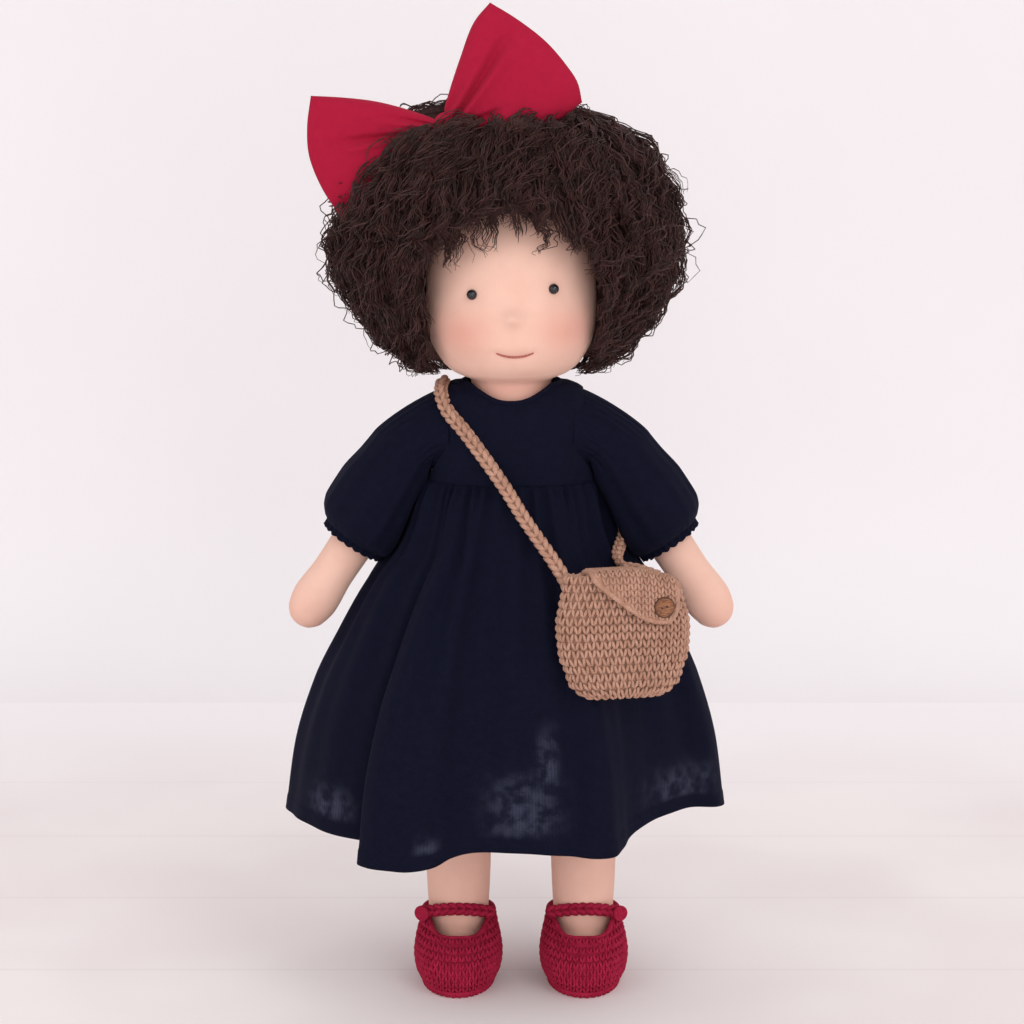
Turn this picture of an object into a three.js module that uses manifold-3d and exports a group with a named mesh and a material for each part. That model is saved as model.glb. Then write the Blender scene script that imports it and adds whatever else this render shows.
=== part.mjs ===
// A stuffed cloth doll with a curly wig and hair bow, in a gathered dress and strap shoes,
// with a shoulder bag. Millimetres, +Z up.
// The doll stands on its soles at z = 0 and faces -Y, so its own right side is at -X.
import * as THREE from "three";
import { mergeVertices } from "three/addons/utils/BufferGeometryUtils.js";
import Module from "manifold-3d";

const wasm = await Module();
wasm.setup();

// Clearances and cloth
const seamGap = 0.3; // between two pieces that are sewn, tied or resting together
const jerseyThickness = 1; // the skin
const clothThickness = 1; // the dress
const jointGap = 0.6; // between the body and the top of a leg

// Legs and shoes
const hipHeight = 127;
const rightLegX = -23.5;
const leftLegX = 34.5;
const legRadius = 14.5;
const legThreadHole = 1.9; // where the thread of the hip joint goes into a leg
const ankleRadius = 12.6;
const ankleHeight = 24;
const footHalfWidth = 15.5;
const footToe = 35;
const footHeel = 13;
const footTop = 22;
const soleThickness = 3;
const soleHalfWidth = 19;
const soleToe = 41;
const soleHeel = 18;
const shoeWall = 2.2;
const shoeTop = 31;
const shoeMouthToe = 27;
const shoeStrapBand = 4.6;
const shoeStrapThickness = 2;
const shoeStrapHeight = 29;
const shoeStrapRise = 3.2; // how much higher its middle is than its ends
const shoeStrapSweep = 5; // how much further back its ends are than its middle
const shoeTopHalfWidth = 16;
const shoeButtonRadius = 3.6;
const shoeButtonThickness = 2.4;

// Body
const bodyX = 1;
const torsoLength = 133.5;
const hipHalfWidth = 40;
const shoulderHalfWidth = 36.2;
const bellyHalfDepth = 26;
const chestHalfDepth = 22;
const shoulderDrop = 20.5; // from the top of the shoulders down to the pivot of the arms

// Arms
const armPivotInset = 1.8; // how far out of the side of the body the pivot of an arm is
const armSpread = 33.7; // degrees from straight down
const armLength = 107;
const upperArmRadius = 12;
const wristRadius = 9.7;
const handRadius = 10.8;
const underarmGap = 3.9; // between the dress and the inside of a sleeve, where the bag's strap passes
const armholeRadius = 20.5;
const armSeamRadius = 17; // of the opening through which an arm reaches the body

// Dress
const yokeDrop = 41; // from the top of the shoulders down to the seam of the skirt
const yokeHalfWidth = 38.6;
const yokeHalfDepth = 28;
const necklineRoom = 3; // between the neck and the edge of the bodice
const necklineForward = 1.6;
const bindingRadius = 0.9;
const skirtLength = 157;
const hemHalfWidth = 100.5;
const hemHalfDepth = 73.5;
const hemFrontDrop = 7; // the front of the hem hangs this much lower than its sides
const foldDepth = 0.1; // of the width, at the hem
const foldCount = 9;
const sleeveLength = 60;
const sleeveFullness = 21;
const sleeveHem = 15.2;
const elasticRadius = 0.8; // of the cord of elastic in the hem of a sleeve
const backButtonRadius = 4;
const backButtonThickness = 2;
const backButtonPitch = 19;

// Head and face
const headX = 1;
const neckRadius = 18.6;
const neckLength = 14;
const neckDepth = 9.5; // how far the neck goes down into the body
const headHeight = 86;
const cheekHalfWidth = 38.4;
const headHalfDepth = 40;
const noseHalfWidth = 7;
const noseProud = 2;
const eyesX = 1.7;
const mouthX = 2.6;
const eyeRadius = 2.3;
const eyeSpacing = 35.6;
const eyeHeight = 41.5; // of the eyes' line above the chin
const eyeTilt = 2.4; // how much higher the doll's left eye is
const mouthHalfWidth = 8.2;
const mouthHeight = 14.8;
const mouthDip = 1.8;
const threadRadius = 0.45;
const headTurnRoom = 3.4; // between the shoulders and the underside of the wig near the neck

// Wig
const capThickness = 1;
const capBottom = 17; // above the chin
const capOverlap = 2.5; // how far the cap comes forward past the edge of the hair
const wigX = -1;
const wigY = 1;
const wigHalfWidth = 80.5;
const wigFront = 50;
const wigBack = 57;
const wigLoft = 36; // above the head
const faceHalfWidth = 38.2;
const hairlineHeight = 74; // above the chin
const faceOpeningDepth = 8; // the hair beside the face starts this far in front of the middle
const partingY = -12; // between the fringe and the crown

// Hair bow
const bowKnot = new THREE.Vector3(-26, -13, 111); // from the middle of the head, at the chin
const bowKnotSize = new THREE.Vector3(17, 13, 15);
const rightLoopLength = 58;
const rightLoopAngle = 194; // degrees from +X, towards +Z
const rightLoopHeight = 57;
const leftLoopLength = 51;
const leftLoopAngle = 41;
const leftLoopHeight = 62;
const loopThickness = 17;
const loopNeckHeight = 12;
const loopNeckThickness = 8;
const clipLength = 30;
const clipWidth = 7;
const clipThickness = 2.4;

// Bag
const bagX = 47;
const bagTopDrop = 75; // from the top of the shoulders down to the bag's top edge
const bagWidth = 50;
const bagBulge = 4; // how much wider it is at its middle than at its top, each side
const bagHeight = 52;
const bagThickness = 17;
const bagWall = 2.6;
const bagYaw = 14; // degrees, turned with the side of the skirt
const bagTilt = 6; // degrees, leaning on the skirt
const bagSkirtGap = 2;
const flapLength = 20;
const flapThickness = 2.4;
const flapLeft = -15; // its edges, from the bag's middle
const flapRight = 21.5;
const bagButtonRadius = 4.6;
const bagButtonThickness = 2.6;
const bagButtonX = 15;
const strapWidth = 6;
const strapThickness = 2.2;
const strapLift = 0.5;
const strapEndShare = 0.08; // of its length, at each end, over which it turns flat to the bag
const strapTopDepth = 12; // how far below the top of the shoulders it begins to lie on top of them

// Numbers of sides
const bodySides = 14;
const limbSides = 10;
const clothSides = 45;
const bodiceSides = 26;
const hairSides = 20;
const smallSides = 10;
const bandSides = 6;
const cordSides = 5;

// Heights and places worked out from the sizes above
const torsoBottom = hipHeight + legRadius + jointGap;
const shoulderTop = torsoBottom + torsoLength;
const armPivotZ = shoulderTop - shoulderDrop;
const yokeZ = shoulderTop - yokeDrop;
const chinZ = shoulderTop - neckDepth + neckLength;
const headTop = chinZ + headHeight;
const neckBottom = shoulderTop - neckDepth;
const wigTop = headTop + wigLoft;
const sides = { right: -1, left: 1 };
const armPivotX = {
  right: bodyX - shoulderHalfWidth - armPivotInset,
  left: bodyX + shoulderHalfWidth + armPivotInset,
};
const legX = { right: rightLegX, left: leftLegX };

const materials = {
  jersey: new THREE.MeshStandardMaterial({ color: 0xf0c6ae, roughness: 0.85 }),
  wool: new THREE.MeshStandardMaterial({ color: 0xece4d4, roughness: 1 }),
  linen: new THREE.MeshStandardMaterial({ color: 0x16182e, roughness: 0.9 }),
  bead: new THREE.MeshStandardMaterial({ color: 0x2b1a16, roughness: 0.15 }),
  thread: new THREE.MeshStandardMaterial({ color: 0xc98a80, roughness: 0.8 }),
  hair: new THREE.MeshStandardMaterial({ color: 0x37262a, roughness: 0.75 }),
  cap: new THREE.MeshStandardMaterial({ color: 0x3c2a2c, roughness: 0.9 }),
  bow: new THREE.MeshStandardMaterial({ color: 0xa81c36, roughness: 0.8 }),
  steel: new THREE.MeshStandardMaterial({ color: 0xb9bcc0, roughness: 0.35, metalness: 1 }),
  elastic: new THREE.MeshStandardMaterial({ color: 0xe8e6e0, roughness: 0.8 }),
  redYarn: new THREE.MeshStandardMaterial({ color: 0x971e3a, roughness: 0.9 }),
  tanYarn: new THREE.MeshStandardMaterial({ color: 0xb98f80, roughness: 0.9 }),
  wood: new THREE.MeshStandardMaterial({ color: 0x6b4637, roughness: 0.6 }),
  navyButton: new THREE.MeshStandardMaterial({ color: 0x1b1d33, roughness: 0.4 }),
};

// Outlines seen from above are superellipses: 2 is an ellipse, and a higher power is squarer.
const bodyPower = 2.3;
const bandPower = 3;
const bagPower = 3.2;

const xAxis = new THREE.Vector3(1, 0, 0);
const yAxis = new THREE.Vector3(0, 1, 0);
const zAxis = new THREE.Vector3(0, 0, 1);

// One ring of points round a centre, in the plane of u and v.
function ring(centre, u, v, a, b, count, power = 2) {
  const points = [];
  for (let i = 0; i < count; i++) {
    const angle = (2 * Math.PI * i) / count;
    const c = Math.cos(angle);
    const s = Math.sin(angle);
    const x = a * Math.sign(c) * Math.abs(c) ** (2 / power);
    const y = b * Math.sign(s) * Math.abs(s) ** (2 / power);
    points.push(centre.clone().addScaledVector(u, x).addScaledVector(v, y));
  }
  return points;
}

// A closed surface through rings with as many points each: capped at both ends, or joined end
// to end as a loop.
function loft(rings, looped = false) {
  const count = rings[0].length;
  const positions = [];
  const index = [];
  for (const points of rings) for (const p of points) positions.push(p.x, p.y, p.z);
  const last = looped ? rings.length : rings.length - 1;
  for (let i = 0; i < last; i++) {
    const here = i * count;
    const next = ((i + 1) % rings.length) * count;
    for (let j = 0; j < count; j++) {
      const k = (j + 1) % count;
      index.push(here + j, here + k, next + k, here + j, next + k, next + j);
    }
  }
  if (!looped) {
    for (const [points, start, flip] of [
      [rings[0], 0, true],
      [rings[rings.length - 1], (rings.length - 1) * count, false],
    ]) {
      const middle = points.reduce((sum, p) => sum.add(p), new THREE.Vector3());
      middle.divideScalar(count);
      const centre = positions.length / 3;
      positions.push(middle.x, middle.y, middle.z);
      for (let j = 0; j < count; j++) {
        const k = (j + 1) % count;
        if (flip) index.push(centre, start + k, start + j);
        else index.push(centre, start + j, start + k);
      }
    }
  }
  const geometry = new THREE.BufferGeometry();
  geometry.setAttribute("position", new THREE.Float32BufferAttribute(positions, 3));
  geometry.setIndex(index);
  return geometry;
}

// A geometry as a solid that can be cut and joined.
function solid(geometry) {
  const bare = geometry.clone();
  bare.deleteAttribute("normal");
  bare.deleteAttribute("uv");
  const merged = mergeVertices(bare, 1e-4);
  return new wasm.Manifold(
    new wasm.Mesh({
      numProp: 3,
      vertProperties: new Float32Array(merged.attributes.position.array),
      triVerts: new Uint32Array(merged.index.array),
    }),
  );
}

// A solid back as a geometry.
function geometryOf(shape) {
  const mesh = shape.getMesh();
  const geometry = new THREE.BufferGeometry();
  const positions = new Float32Array(mesh.numVert * 3);
  for (let i = 0; i < mesh.numVert; i++) {
    const start = i * mesh.numProp;
    positions.set(mesh.vertProperties.subarray(start, start + 3), i * 3);
  }
  geometry.setAttribute("position", new THREE.BufferAttribute(positions, 3));
  geometry.setIndex(new THREE.BufferAttribute(new Uint32Array(mesh.triVerts), 1));
  geometry.computeVertexNormals();
  return geometry;
}

// The largest of the bodies that a cut leaves, without its crumbs.
function mainBody(shape) {
  return shape.decompose().reduce((most, body) => (body.volume() > most.volume() ? body : most));
}

const doll = new THREE.Group();

function addMesh(name, shape, material, parent = doll) {
  const geometry = shape.isBufferGeometry ? shape : geometryOf(shape);
  const mesh = new THREE.Mesh(geometry, materials[material]);
  mesh.name = name;
  parent.add(mesh);
  return mesh;
}

function cylinder(radius, length, count, matrix) {
  const geometry = new THREE.CylinderGeometry(radius, radius, length, count);
  geometry.applyMatrix4(new THREE.Matrix4().makeRotationX(Math.PI / 2)); // its axis along Z
  return solid(geometry.applyMatrix4(matrix));
}

// A flat button with its axis along Y.
function disc(radius, thickness) {
  return new THREE.CylinderGeometry(radius, radius, thickness, smallSides);
}

function box(low, high) {
  const geometry = new THREE.BoxGeometry(high.x - low.x, high.y - low.y, high.z - low.z);
  const middle = low.clone().add(high).multiplyScalar(0.5);
  return solid(geometry.translate(middle.x, middle.y, middle.z));
}

const reach = 1000; // further than any piece goes

// Everything on one side of a plane x = place.
function beyondX(place, side) {
  const low = new THREE.Vector3(side > 0 ? place : place - reach, -reach, -reach);
  const high = new THREE.Vector3(side > 0 ? place + reach : place, reach, reach);
  return box(low, high);
}

// The value at one station between rows of [station, value, value ...].
function between(rows, at) {
  const last = rows.length - 1;
  if (at <= rows[0][0]) return rows[0].slice(1);
  if (at >= rows[last][0]) return rows[last].slice(1);
  const i = rows.findIndex((row) => row[0] >= at);
  const share = (at - rows[i - 1][0]) / (rows[i][0] - rows[i - 1][0]);
  return rows[i].slice(1).map((v, k) => rows[i - 1][k + 1] + share * (v - rows[i - 1][k + 1]));
}

// Torso: a stuffed body that swells at the belly and narrows to the neck.
// Rows: share of the length, share of the half width, share of the half depth, and how far the
// sizes of the hips have changed to those of the shoulders and chest
const torsoRows = [
  [0, 0.88, 0.6, 0],
  [0.03, 0.95, 0.8, 0],
  [0.09, 0.97, 0.94, 0],
  [0.2, 1, 1, 0],
  [0.38, 0.94, 1, 0.25],
  [0.56, 0.96, 1, 0.7],
  [0.74, 1, 1.03, 1],
  [0.87, 1, 1, 1],
  [0.93, 0.93, 0.9, 1],
  [0.97, 0.82, 0.76, 1],
  [1, 0.66, 0.6, 1],
];

function torsoForm(inset) {
  const rings = torsoRows.map(([share, width, depth, chest]) => {
    const halfWidth = hipHalfWidth + (shoulderHalfWidth - hipHalfWidth) * chest;
    const halfDepth = bellyHalfDepth + (chestHalfDepth - bellyHalfDepth) * chest;
    const z = torsoBottom + inset + share * (torsoLength - 2 * inset);
    const centre = new THREE.Vector3(bodyX, 0, z);
    const across = width * halfWidth - inset;
    const through = depth * halfDepth - inset;
    return ring(centre, xAxis, yAxis, across, through, bodySides, bodyPower);
  });
  return solid(loft(rings));
}

function neckSocket(radius, bottom) {
  const rings = [bottom, reach].map((z) =>
    ring(new THREE.Vector3(headX, 0, z), xAxis, yAxis, radius, radius, bodySides),
  );
  return solid(loft(rings));
}

function buildTorso() {
  // The neck's corners turn inside the flat sides of its socket.
  const neckHole = (neckRadius + seamGap) / Math.cos(Math.PI / bodySides);
  const skin = torsoForm(0)
    .subtract(torsoForm(jerseyThickness))
    .subtract(neckSocket(neckHole, neckBottom - jerseyThickness - seamGap));
  const wool = torsoForm(jerseyThickness + seamGap).subtract(
    neckSocket(neckHole, neckBottom - seamGap),
  );
  addMesh("torso_skin", skin, "jersey");
  addMesh("torso_wool", wool, "wool");
}

// Dress outline. Rows: height, half width, half depth
const skirtRows = [
  [0, 0, 0],
  [0.03, 0.045, 0.09],
  [0.07, 0.085, 0.17],
  [0.12, 0.125, 0.24],
  [0.19, 0.2, 0.35],
  [0.26, 0.3, 0.44],
  [0.35, 0.43, 0.55],
  [0.45, 0.54, 0.66],
  [0.6, 0.73, 0.79],
  [0.8, 0.9, 0.91],
  [1, 1, 1],
].map(([share, width, depth]) => [
  yokeZ - share * skirtLength,
  yokeHalfWidth + width * (hemHalfWidth - yokeHalfWidth),
  yokeHalfDepth + depth * (hemHalfDepth - yokeHalfDepth),
]);
const bodiceTop = shoulderTop + 2.5 * clothThickness;
const bodiceRows = [
  [0, 1, 1],
  [0.35, 1.01, 0.98],
  [0.6, 1, 0.92],
  [0.8, 0.96, 0.84],
  [0.9, 0.88, 0.74],
  [0.96, 0.8, 0.67],
  [1, 0.7, 0.58],
].map(([share, width, depth]) => [
  yokeZ + seamGap + share * (bodiceTop - yokeZ - seamGap),
  width * yokeHalfWidth,
  depth * yokeHalfDepth,
]);
const dressRows = [...skirtRows.toReversed(), ...bodiceRows];

// A point on the dress at an angle from +X and a height, moved outwards by a distance.
function onDress(angle, z, out) {
  const [halfWidth, halfDepth] = between(dressRows, z);
  const c = Math.cos((angle * Math.PI) / 180);
  const s = Math.sin((angle * Math.PI) / 180);
  const normal = new THREE.Vector3(c / halfWidth, s / halfDepth, 0).normalize();
  return new THREE.Vector3(bodyX + halfWidth * c, halfDepth * s, z).addScaledVector(normal, out);
}

// How far in the cloth lies from its outline: nothing at the seam of the yoke, full folds at the hem.
function foldAt(angle, share) {
  const swing = foldCount * angle + 1.1 * Math.sin(2 * angle) + 0.6;
  const depth = foldDepth * Math.max(0, (share - 0.2) / 0.8) ** 1.2;
  return depth * (0.5 - 0.5 * Math.cos(swing));
}

function skirtRing(row, share, inset) {
  const [z, halfWidth, halfDepth] = row;
  const points = [];
  for (let i = 0; i < clothSides; i++) {
    const angle = (2 * Math.PI * i) / clothSides;
    const fold = 1 - foldAt(angle, share);
    const x = bodyX * (1 - share) + (halfWidth * fold - inset) * Math.cos(angle);
    const y = (halfDepth * fold - inset) * Math.sin(angle);
    const drop = hemFrontDrop * share ** 4 * Math.max(0, -Math.sin(angle));
    points.push(new THREE.Vector3(x, y, z - drop));
  }
  return points;
}

function buildSkirt() {
  const rings = skirtRows.map((row, i) => [row, (yokeZ - row[0]) / skirtLength]);
  const outer = rings.map(([row, share]) => skirtRing(row, share, 0)).reverse();
  const inner = rings.map(([row, share]) => skirtRing(row, share, clothThickness));
  addMesh("dress_skirt", loft([...outer, ...inner], true), "linen");
}

// The surface that an arm sweeps against: the dress's half width at each distance from the arms'
// pivot, and the body's own inside the armhole, where the corners of the arm's seam turn.
const turningRadius = armholeRadius * Math.cos(Math.PI / (2 * smallSides)) - seamGap;

function underarmLimit(radius) {
  if (radius <= turningRadius) return shoulderHalfWidth + 2 * seamGap;
  const [halfWidth] = between(dressRows, armPivotZ - radius);
  const beyond = Math.max(0, radius - armholeRadius) / (0.6 * armholeRadius);
  return halfWidth + 2 * seamGap + Math.min(1, beyond) * underarmGap;
}

// A solid of revolution about the arms' pivot axis that holds the body and dress, grown outwards
// by a distance.
function underarmForm(side, grow) {
  const steps = [0, turningRadius, turningRadius + 0.02];
  for (const share of [1.3, 1.6, 2, 2.5, 3, 4, 6]) steps.push(share * armholeRadius);
  const profile = [new THREE.Vector2(0, -reach)];
  profile.push(new THREE.Vector2(steps[steps.length - 1], -reach));
  for (const radius of steps.toReversed()) {
    profile.push(new THREE.Vector2(radius, underarmLimit(radius) + grow));
  }
  const geometry = new THREE.LatheGeometry(profile, 2 * smallSides);
  const turned = new THREE.Matrix4().makeRotationZ(side > 0 ? -Math.PI / 2 : Math.PI / 2);
  geometry.applyMatrix4(turned);
  geometry.translate(bodyX, 0, armPivotZ);
  return solid(geometry);
}

// An arm or a sleeve: rings square to a line from the pivot down and outwards.
function alongArm(side, rows, inset, endShift = 0) {
  const spread = (armSpread * Math.PI) / 180;
  const along = new THREE.Vector3(side * Math.sin(spread), 0, -Math.cos(spread));
  const u = new THREE.Vector3().crossVectors(yAxis, along);
  const pivot = new THREE.Vector3(side > 0 ? armPivotX.left : armPivotX.right, 0, armPivotZ);
  const rings = rows.map(([s, a, b], i) => {
    const atEnd = i === rows.length - 1;
    const shift = i === 0 ? inset : atEnd ? endShift : 0;
    const centre = pivot.clone().addScaledVector(along, s + shift);
    return ring(centre, u, yAxis, a - inset, b - inset, limbSides, 2);
  });
  return solid(loft(rings));
}

// Rows: distance from the pivot, half width, half depth
const armRows = [
  [-0.8 * upperArmRadius, 0.25 * upperArmRadius, 0.25 * upperArmRadius],
  [-0.58 * upperArmRadius, 0.58 * upperArmRadius, 0.58 * upperArmRadius],
  [-0.25 * upperArmRadius, 0.8 * upperArmRadius, 0.8 * upperArmRadius],
  [0, 0.85 * upperArmRadius, 0.85 * upperArmRadius],
  [0.1 * armLength, 0.93 * upperArmRadius, 0.93 * upperArmRadius],
  [0.25 * armLength, upperArmRadius, upperArmRadius],
  [0.42 * armLength, 0.96 * upperArmRadius, 0.96 * upperArmRadius],
  [0.58 * armLength, 1.03 * wristRadius, 1.03 * wristRadius],
  [0.72 * armLength, wristRadius, wristRadius],
  [0.86 * armLength, handRadius, 0.94 * handRadius],
  [0.94 * armLength, 0.84 * handRadius, 0.8 * handRadius],
  [0.985 * armLength, 0.5 * handRadius, 0.5 * handRadius],
  [armLength, 0.16 * handRadius, 0.16 * handRadius],
];

const sleeveRows = [
  [-0.78 * armholeRadius, 0.29 * armholeRadius, 0.49 * armholeRadius],
  [-0.39 * armholeRadius, 0.51 * armholeRadius, 0.78 * armholeRadius],
  [0, 0.57 * armholeRadius, 0.88 * armholeRadius],
  [0.17 * sleeveLength, 0.65 * sleeveFullness, 0.86 * sleeveFullness],
  [0.36 * sleeveLength, 0.76 * sleeveFullness, 0.95 * sleeveFullness],
  [0.6 * sleeveLength, 0.9 * sleeveFullness, 1.03 * sleeveFullness],
  [0.8 * sleeveLength, 0.98 * sleeveFullness, 1.05 * sleeveFullness],
  [0.9 * sleeveLength, 0.96 * sleeveFullness, 1.0 * sleeveFullness],
  [0.97 * sleeveLength, 1.12 * sleeveHem, 1.14 * sleeveHem],
  [sleeveLength, sleeveHem, sleeveHem],
];

function buildArm(name, side) {
  const place = side > 0 ? armPivotX.left : armPivotX.right;
  const sewnAt = place - side * armPivotInset + side * seamGap;
  const bodySide = beyondX(sewnAt, -side);
  const sideways = () => new THREE.Matrix4().makeRotationY(Math.PI / 2);
  const armhole = cylinder(
    armSeamRadius,
    2 * underarmGap,
    2 * smallSides,
    sideways().setPosition(sewnAt + side * underarmGap, 0, armPivotZ),
  );
  const inSleeve = underarmForm(side, clothThickness + seamGap).subtract(armhole);
  const cutArm = (form) => form.subtract(inSleeve).subtract(bodySide);
  const outer = cutArm(alongArm(side, armRows, 0));
  const skinGrow = clothThickness + seamGap + jerseyThickness;
  const cavity = alongArm(side, armRows, jerseyThickness, -jerseyThickness).subtract(
    underarmForm(side, skinGrow).subtract(armhole),
  );
  const skin = outer.subtract(cavity);
  const woolInset = jerseyThickness + seamGap;
  const wool = alongArm(side, armRows, woolInset, -woolInset)
    .subtract(underarmForm(side, skinGrow + seamGap).subtract(armhole))
    .subtract(bodySide);
  addMesh(name + "_arm_skin", skin, "jersey");
  addMesh(name + "_arm_wool", wool, "wool");

  const clothLimit = underarmForm(side, 0);
  const clothOuter = alongArm(side, sleeveRows, 0).subtract(clothLimit);
  const clothInner = alongArm(side, sleeveRows, clothThickness, clothThickness).subtract(
    underarmForm(side, clothThickness),
  );
  const hole = cylinder(
    armSeamRadius + clothThickness,
    2 * (clothThickness + 4 * seamGap),
    2 * smallSides,
    sideways().setPosition(sewnAt, 0, armPivotZ),
  );
  const sleeve = clothOuter.subtract(clothInner).subtract(hole);
  addMesh(name + "_sleeve", sleeve, "linen");
}

// The dress's bodice: open at the neck and the two armholes, closed below each armhole.
function neckline() {
  const radius = neckRadius + necklineRoom;
  const rings = [yokeZ, reach].map((z) => {
    const centre = new THREE.Vector3(headX, -necklineForward / 2, z);
    return ring(centre, xAxis, yAxis, radius, radius + necklineForward / 2, 2 * smallSides);
  });
  return solid(loft(rings));
}

function bodiceRing([z, halfWidth, halfDepth], inset) {
  const centre = new THREE.Vector3(bodyX, 0, z);
  return ring(centre, xAxis, yAxis, halfWidth - inset, halfDepth - inset, bodiceSides, bodyPower);
}

function buildBodice() {
  const outer = bodiceRows.map((row) => bodiceRing(row, 0));
  const inner = bodiceRows.map((row) => bodiceRing(row, clothThickness)).reverse();
  let bodice = solid(loft([...outer, ...inner], true)).subtract(neckline());
  for (const side of [-1, 1]) {
    const place = new THREE.Matrix4().makeRotationY(Math.PI / 2);
    place.setPosition(bodyX + side * (shoulderHalfWidth + reach / 2), 0, armPivotZ);
    bodice = bodice.subtract(cylinder(armholeRadius, reach, 2 * smallSides, place));
  }
  addMesh("dress_bodice", bodice, "linen");
}

// The height at which the neckline's edge meets the outside of the bodice.
function necklineEdge(angle) {
  const radius = neckRadius + necklineRoom;
  const x = headX + radius * Math.cos(angle) - bodyX;
  const y = (radius + necklineForward / 2) * Math.sin(angle) - necklineForward / 2;
  let low = bodiceRows[0][0];
  let high = bodiceTop;
  for (let i = 0; i < 30; i++) {
    const middle = (low + high) / 2;
    const [halfWidth, halfDepth] = between(bodiceRows, middle);
    const across = Math.abs(x / halfWidth) ** bodyPower;
    const through = Math.abs(y / halfDepth) ** bodyPower;
    if (across + through < 1) low = middle;
    else high = middle;
  }
  return low;
}

function buildBinding() {
  const rings = [];
  const inward = bindingRadius + seamGap;
  const count = 2 * smallSides;
  for (let i = 0; i < count; i++) {
    const angle = (-2 * Math.PI * i) / count;
    const out = new THREE.Vector3(Math.cos(angle), Math.sin(angle), 0);
    const radius = neckRadius + necklineRoom - inward;
    const centre = new THREE.Vector3(
      headX + radius * out.x,
      (radius + necklineForward / 2) * out.y - necklineForward / 2,
      necklineEdge(angle),
    );
    rings.push(ring(centre, out, zAxis, bindingRadius, bindingRadius, cordSides));
  }
  addMesh("dress_neck_binding", loft(rings, true), "linen");
}

function buildBackButtons() {
  for (const [i, name] of ["dress_back_button_top", "dress_back_button_bottom"].entries()) {
    const z = bodiceTop - 2.6 * backButtonRadius - i * backButtonPitch;
    const [, halfDepth] = between(bodiceRows, z - backButtonRadius);
    const button = disc(backButtonRadius, backButtonThickness);
    button.translate(bodyX, halfDepth + seamGap + backButtonThickness / 2, z);
    addMesh(name, button, "navyButton");
  }
}

// Elastic in the hem of a sleeve.
function buildElastic(name, side) {
  const spread = (armSpread * Math.PI) / 180;
  const along = new THREE.Vector3(side * Math.sin(spread), 0, -Math.cos(spread));
  const pivot = new THREE.Vector3(side > 0 ? armPivotX.left : armPivotX.right, 0, armPivotZ);
  const radius = sleeveHem - clothThickness - seamGap - elasticRadius;
  const geometry = new THREE.TorusGeometry(radius, elasticRadius, 4, limbSides);
  geometry.applyQuaternion(new THREE.Quaternion().setFromUnitVectors(zAxis, along));
  const place = pivot.addScaledVector(along, sleeveLength - 2 * elasticRadius);
  geometry.translate(place.x, place.y, place.z);
  const ringForm = solid(geometry).subtract(underarmForm(side, clothThickness + seamGap));
  addMesh(name + "_sleeve_elastic", ringForm, "elastic");
}

// Legs: straight, with a foot that points forward, rounded at the hip so that they can swing.
function legForm(x, inset) {
  const rows = [
    [0.16 * ankleHeight, 0.7 * ankleRadius],
    [0.4 * ankleHeight, 0.98 * ankleRadius],
    [ankleHeight, ankleRadius],
    [0.34 * hipHeight, 0.94 * legRadius],
    [0.5 * hipHeight, legRadius],
    [0.8 * hipHeight, 1.02 * legRadius],
    [hipHeight, legRadius],
    [hipHeight + 0.5 * legRadius, 0.866 * legRadius],
    [hipHeight + 0.82 * legRadius, 0.572 * legRadius],
    [hipHeight + legRadius, 2.2 * legThreadHole],
  ];
  const rings = rows.map(([z, radius], i) => {
    const shift = i === 0 ? inset : i === rows.length - 1 ? -inset : 0;
    const size = Math.max(radius - inset, 0.6);
    return ring(new THREE.Vector3(x, 0, z + shift), xAxis, yAxis, size, size, limbSides);
  });
  const foot = new THREE.SphereGeometry(1, limbSides, 6);
  const bottom = soleThickness + seamGap;
  const halfHeight = (footTop - bottom) / 2;
  foot.rotateX(Math.PI / 2);
  foot.scale(footHalfWidth - inset, (footToe + footHeel) / 2 - inset, halfHeight - inset);
  foot.translate(x, (footHeel - footToe) / 2, bottom + halfHeight);
  return solid(loft(rings)).add(solid(foot));
}

function buildLeg(name, x) {
  const outer = legForm(x, 0);
  const opening = cylinder(
    legThreadHole,
    legRadius,
    smallSides,
    new THREE.Matrix4().makeTranslation(x, 0, hipHeight + legRadius),
  );
  const skin = outer.subtract(legForm(x, jerseyThickness)).subtract(opening);
  addMesh(name + "_leg_skin", skin, "jersey");
  addMesh(name + "_leg_wool", legForm(x, jerseyThickness + seamGap), "wool");
}

// The outline of a shoe at one height, seen from above.
function shoeRing(x, z, width, toe, heel) {
  const points = [];
  const count = 2 * smallSides;
  for (let i = 0; i < count; i++) {
    const angle = (2 * Math.PI * i) / count;
    const c = Math.cos(angle);
    const s = Math.sin(angle);
    const length = (toe + heel) / 2;
    const y = (heel - toe) / 2 + length * s;
    const narrow = 1 - 0.13 * Math.max(0, s);
    points.push(new THREE.Vector3(x + width * narrow * Math.sign(c) * Math.abs(c) ** 0.85, y, z));
  }
  return points;
}

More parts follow.
